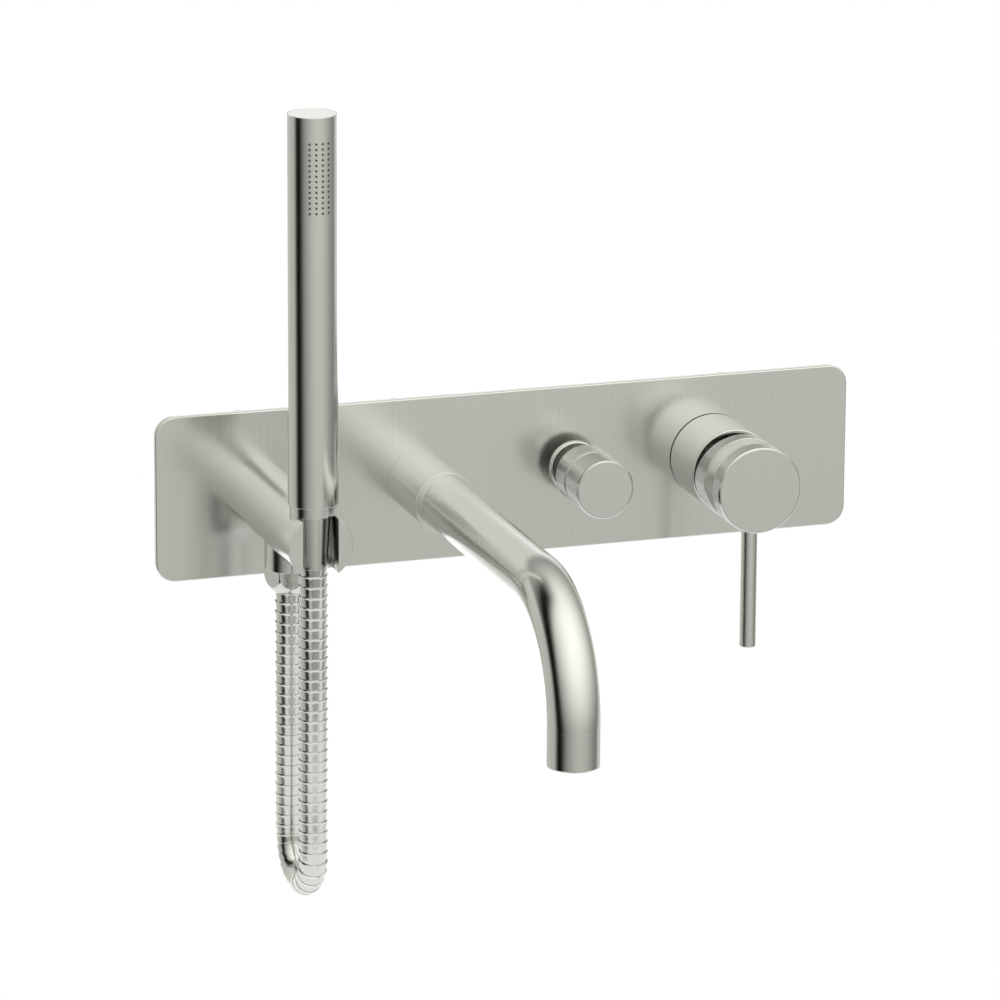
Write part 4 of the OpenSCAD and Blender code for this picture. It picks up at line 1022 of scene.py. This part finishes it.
def along_direction(tree, heading, azimuth, elevation):
    """Cosine between the looked at direction and another one."""
    dot = tree.nodes.new("ShaderNodeVectorMath")
    dot.operation = "DOT_PRODUCT"
    dot.inputs[1].default_value = toward(azimuth, elevation)
    tree.links.new(heading, dot.inputs[0])
    return Value(tree, dot.outputs["Value"])


def make_world():
    """Soft light by direction for the object, and a white backdrop behind it."""
    world = bpy.data.worlds.new("studio")
    world.use_nodes = True
    tree = world.node_tree
    background = tree.nodes["Background"]
    out = tree.nodes["World Output"]
    heading = tree.nodes.new("ShaderNodeTexCoord").outputs["Generated"]
    total = 0.0
    for azimuth, elevation, start, full, strength in STUDIO:
        total = along_direction(tree, heading, azimuth, elevation).between(start, full) * strength + total
    azimuth, elevation, centre, inner, outer, begin, whole = DARK_BAND
    off_band = (along_direction(tree, heading, azimuth, elevation) - centre).absolute().between(inner, outer)
    to_left = along_direction(tree, heading, -90, 0).between(begin, whole)
    total = total * (1.0 - to_left * (1.0 - off_band))
    tree.links.new(total.socket, background.inputs["Strength"])
    background.inputs["Color"].default_value = STUDIO_TINT + (1,)
    white = tree.nodes.new("ShaderNodeBackground")
    white.inputs["Color"].default_value = (1, 1, 1, 1)
    path = tree.nodes.new("ShaderNodeLightPath")
    mirrored = Value(tree, path.outputs["Is Glossy Ray"]) + Value(tree, path.outputs["Is Transmission Ray"])
    behind = along_direction(tree, heading, *BACKDROP).between(*BACKDROP_EDGE)
    tree.links.new((1.0 + mirrored * BACKDROP_GAIN).socket, white.inputs["Strength"])
    seen = (Value(tree, path.outputs["Is Camera Ray"]) + mirrored * behind).at_most(1.0)
    mix = tree.nodes.new("ShaderNodeMixShader")
    tree.links.new(seen.socket, mix.inputs["Fac"])
    tree.links.new(background.outputs[0], mix.inputs[1])
    tree.links.new(white.outputs[0], mix.inputs[2])
    tree.links.new(mix.outputs[0], out.inputs["Surface"])
    bpy.context.scene.world = world


def make_floor():
    """A plain pale floor, white to the camera."""
    mesh = bpy.data.meshes.new("floor")
    corners = [(-1, -1), (1, -1), (1, 1), (-1, 1)]
    mesh.from_pydata([(x * FLOOR_HALF, y * FLOOR_HALF, FLOOR_Z) for x, y in corners], [], [(0, 1, 2, 3)])
    floor = add_object("floor", mesh)
    material, tree, shader = new_material("pale_floor")
    shader.inputs["Base Color"].default_value = (0.8, 0.8, 0.8, 1)
    shader.inputs["Roughness"].default_value = 0.8
    glow = tree.nodes.new("ShaderNodeEmission")
    path = tree.nodes.new("ShaderNodeLightPath")
    seen = Value(tree, path.outputs["Is Camera Ray"]) + Value(tree, path.outputs["Is Glossy Ray"])
    seen = (seen + Value(tree, path.outputs["Is Transmission Ray"])).at_most(1.0)
    mix = tree.nodes.new("ShaderNodeMixShader")
    tree.links.new(seen.socket, mix.inputs["Fac"])
    tree.links.new(shader.outputs[0], mix.inputs[1])
    tree.links.new(glow.outputs[0], mix.inputs[2])
    tree.links.new(mix.outputs[0], tree.nodes["Material Output"].inputs["Surface"])
    mesh.materials.append(material)


paint_the_rest()
make_spout()
make_handset()
make_diverter()
make_mixer()
make_arm()
make_eased()
make_world()
make_floor()

bpy.context.scene.view_settings.view_transform = "Standard"
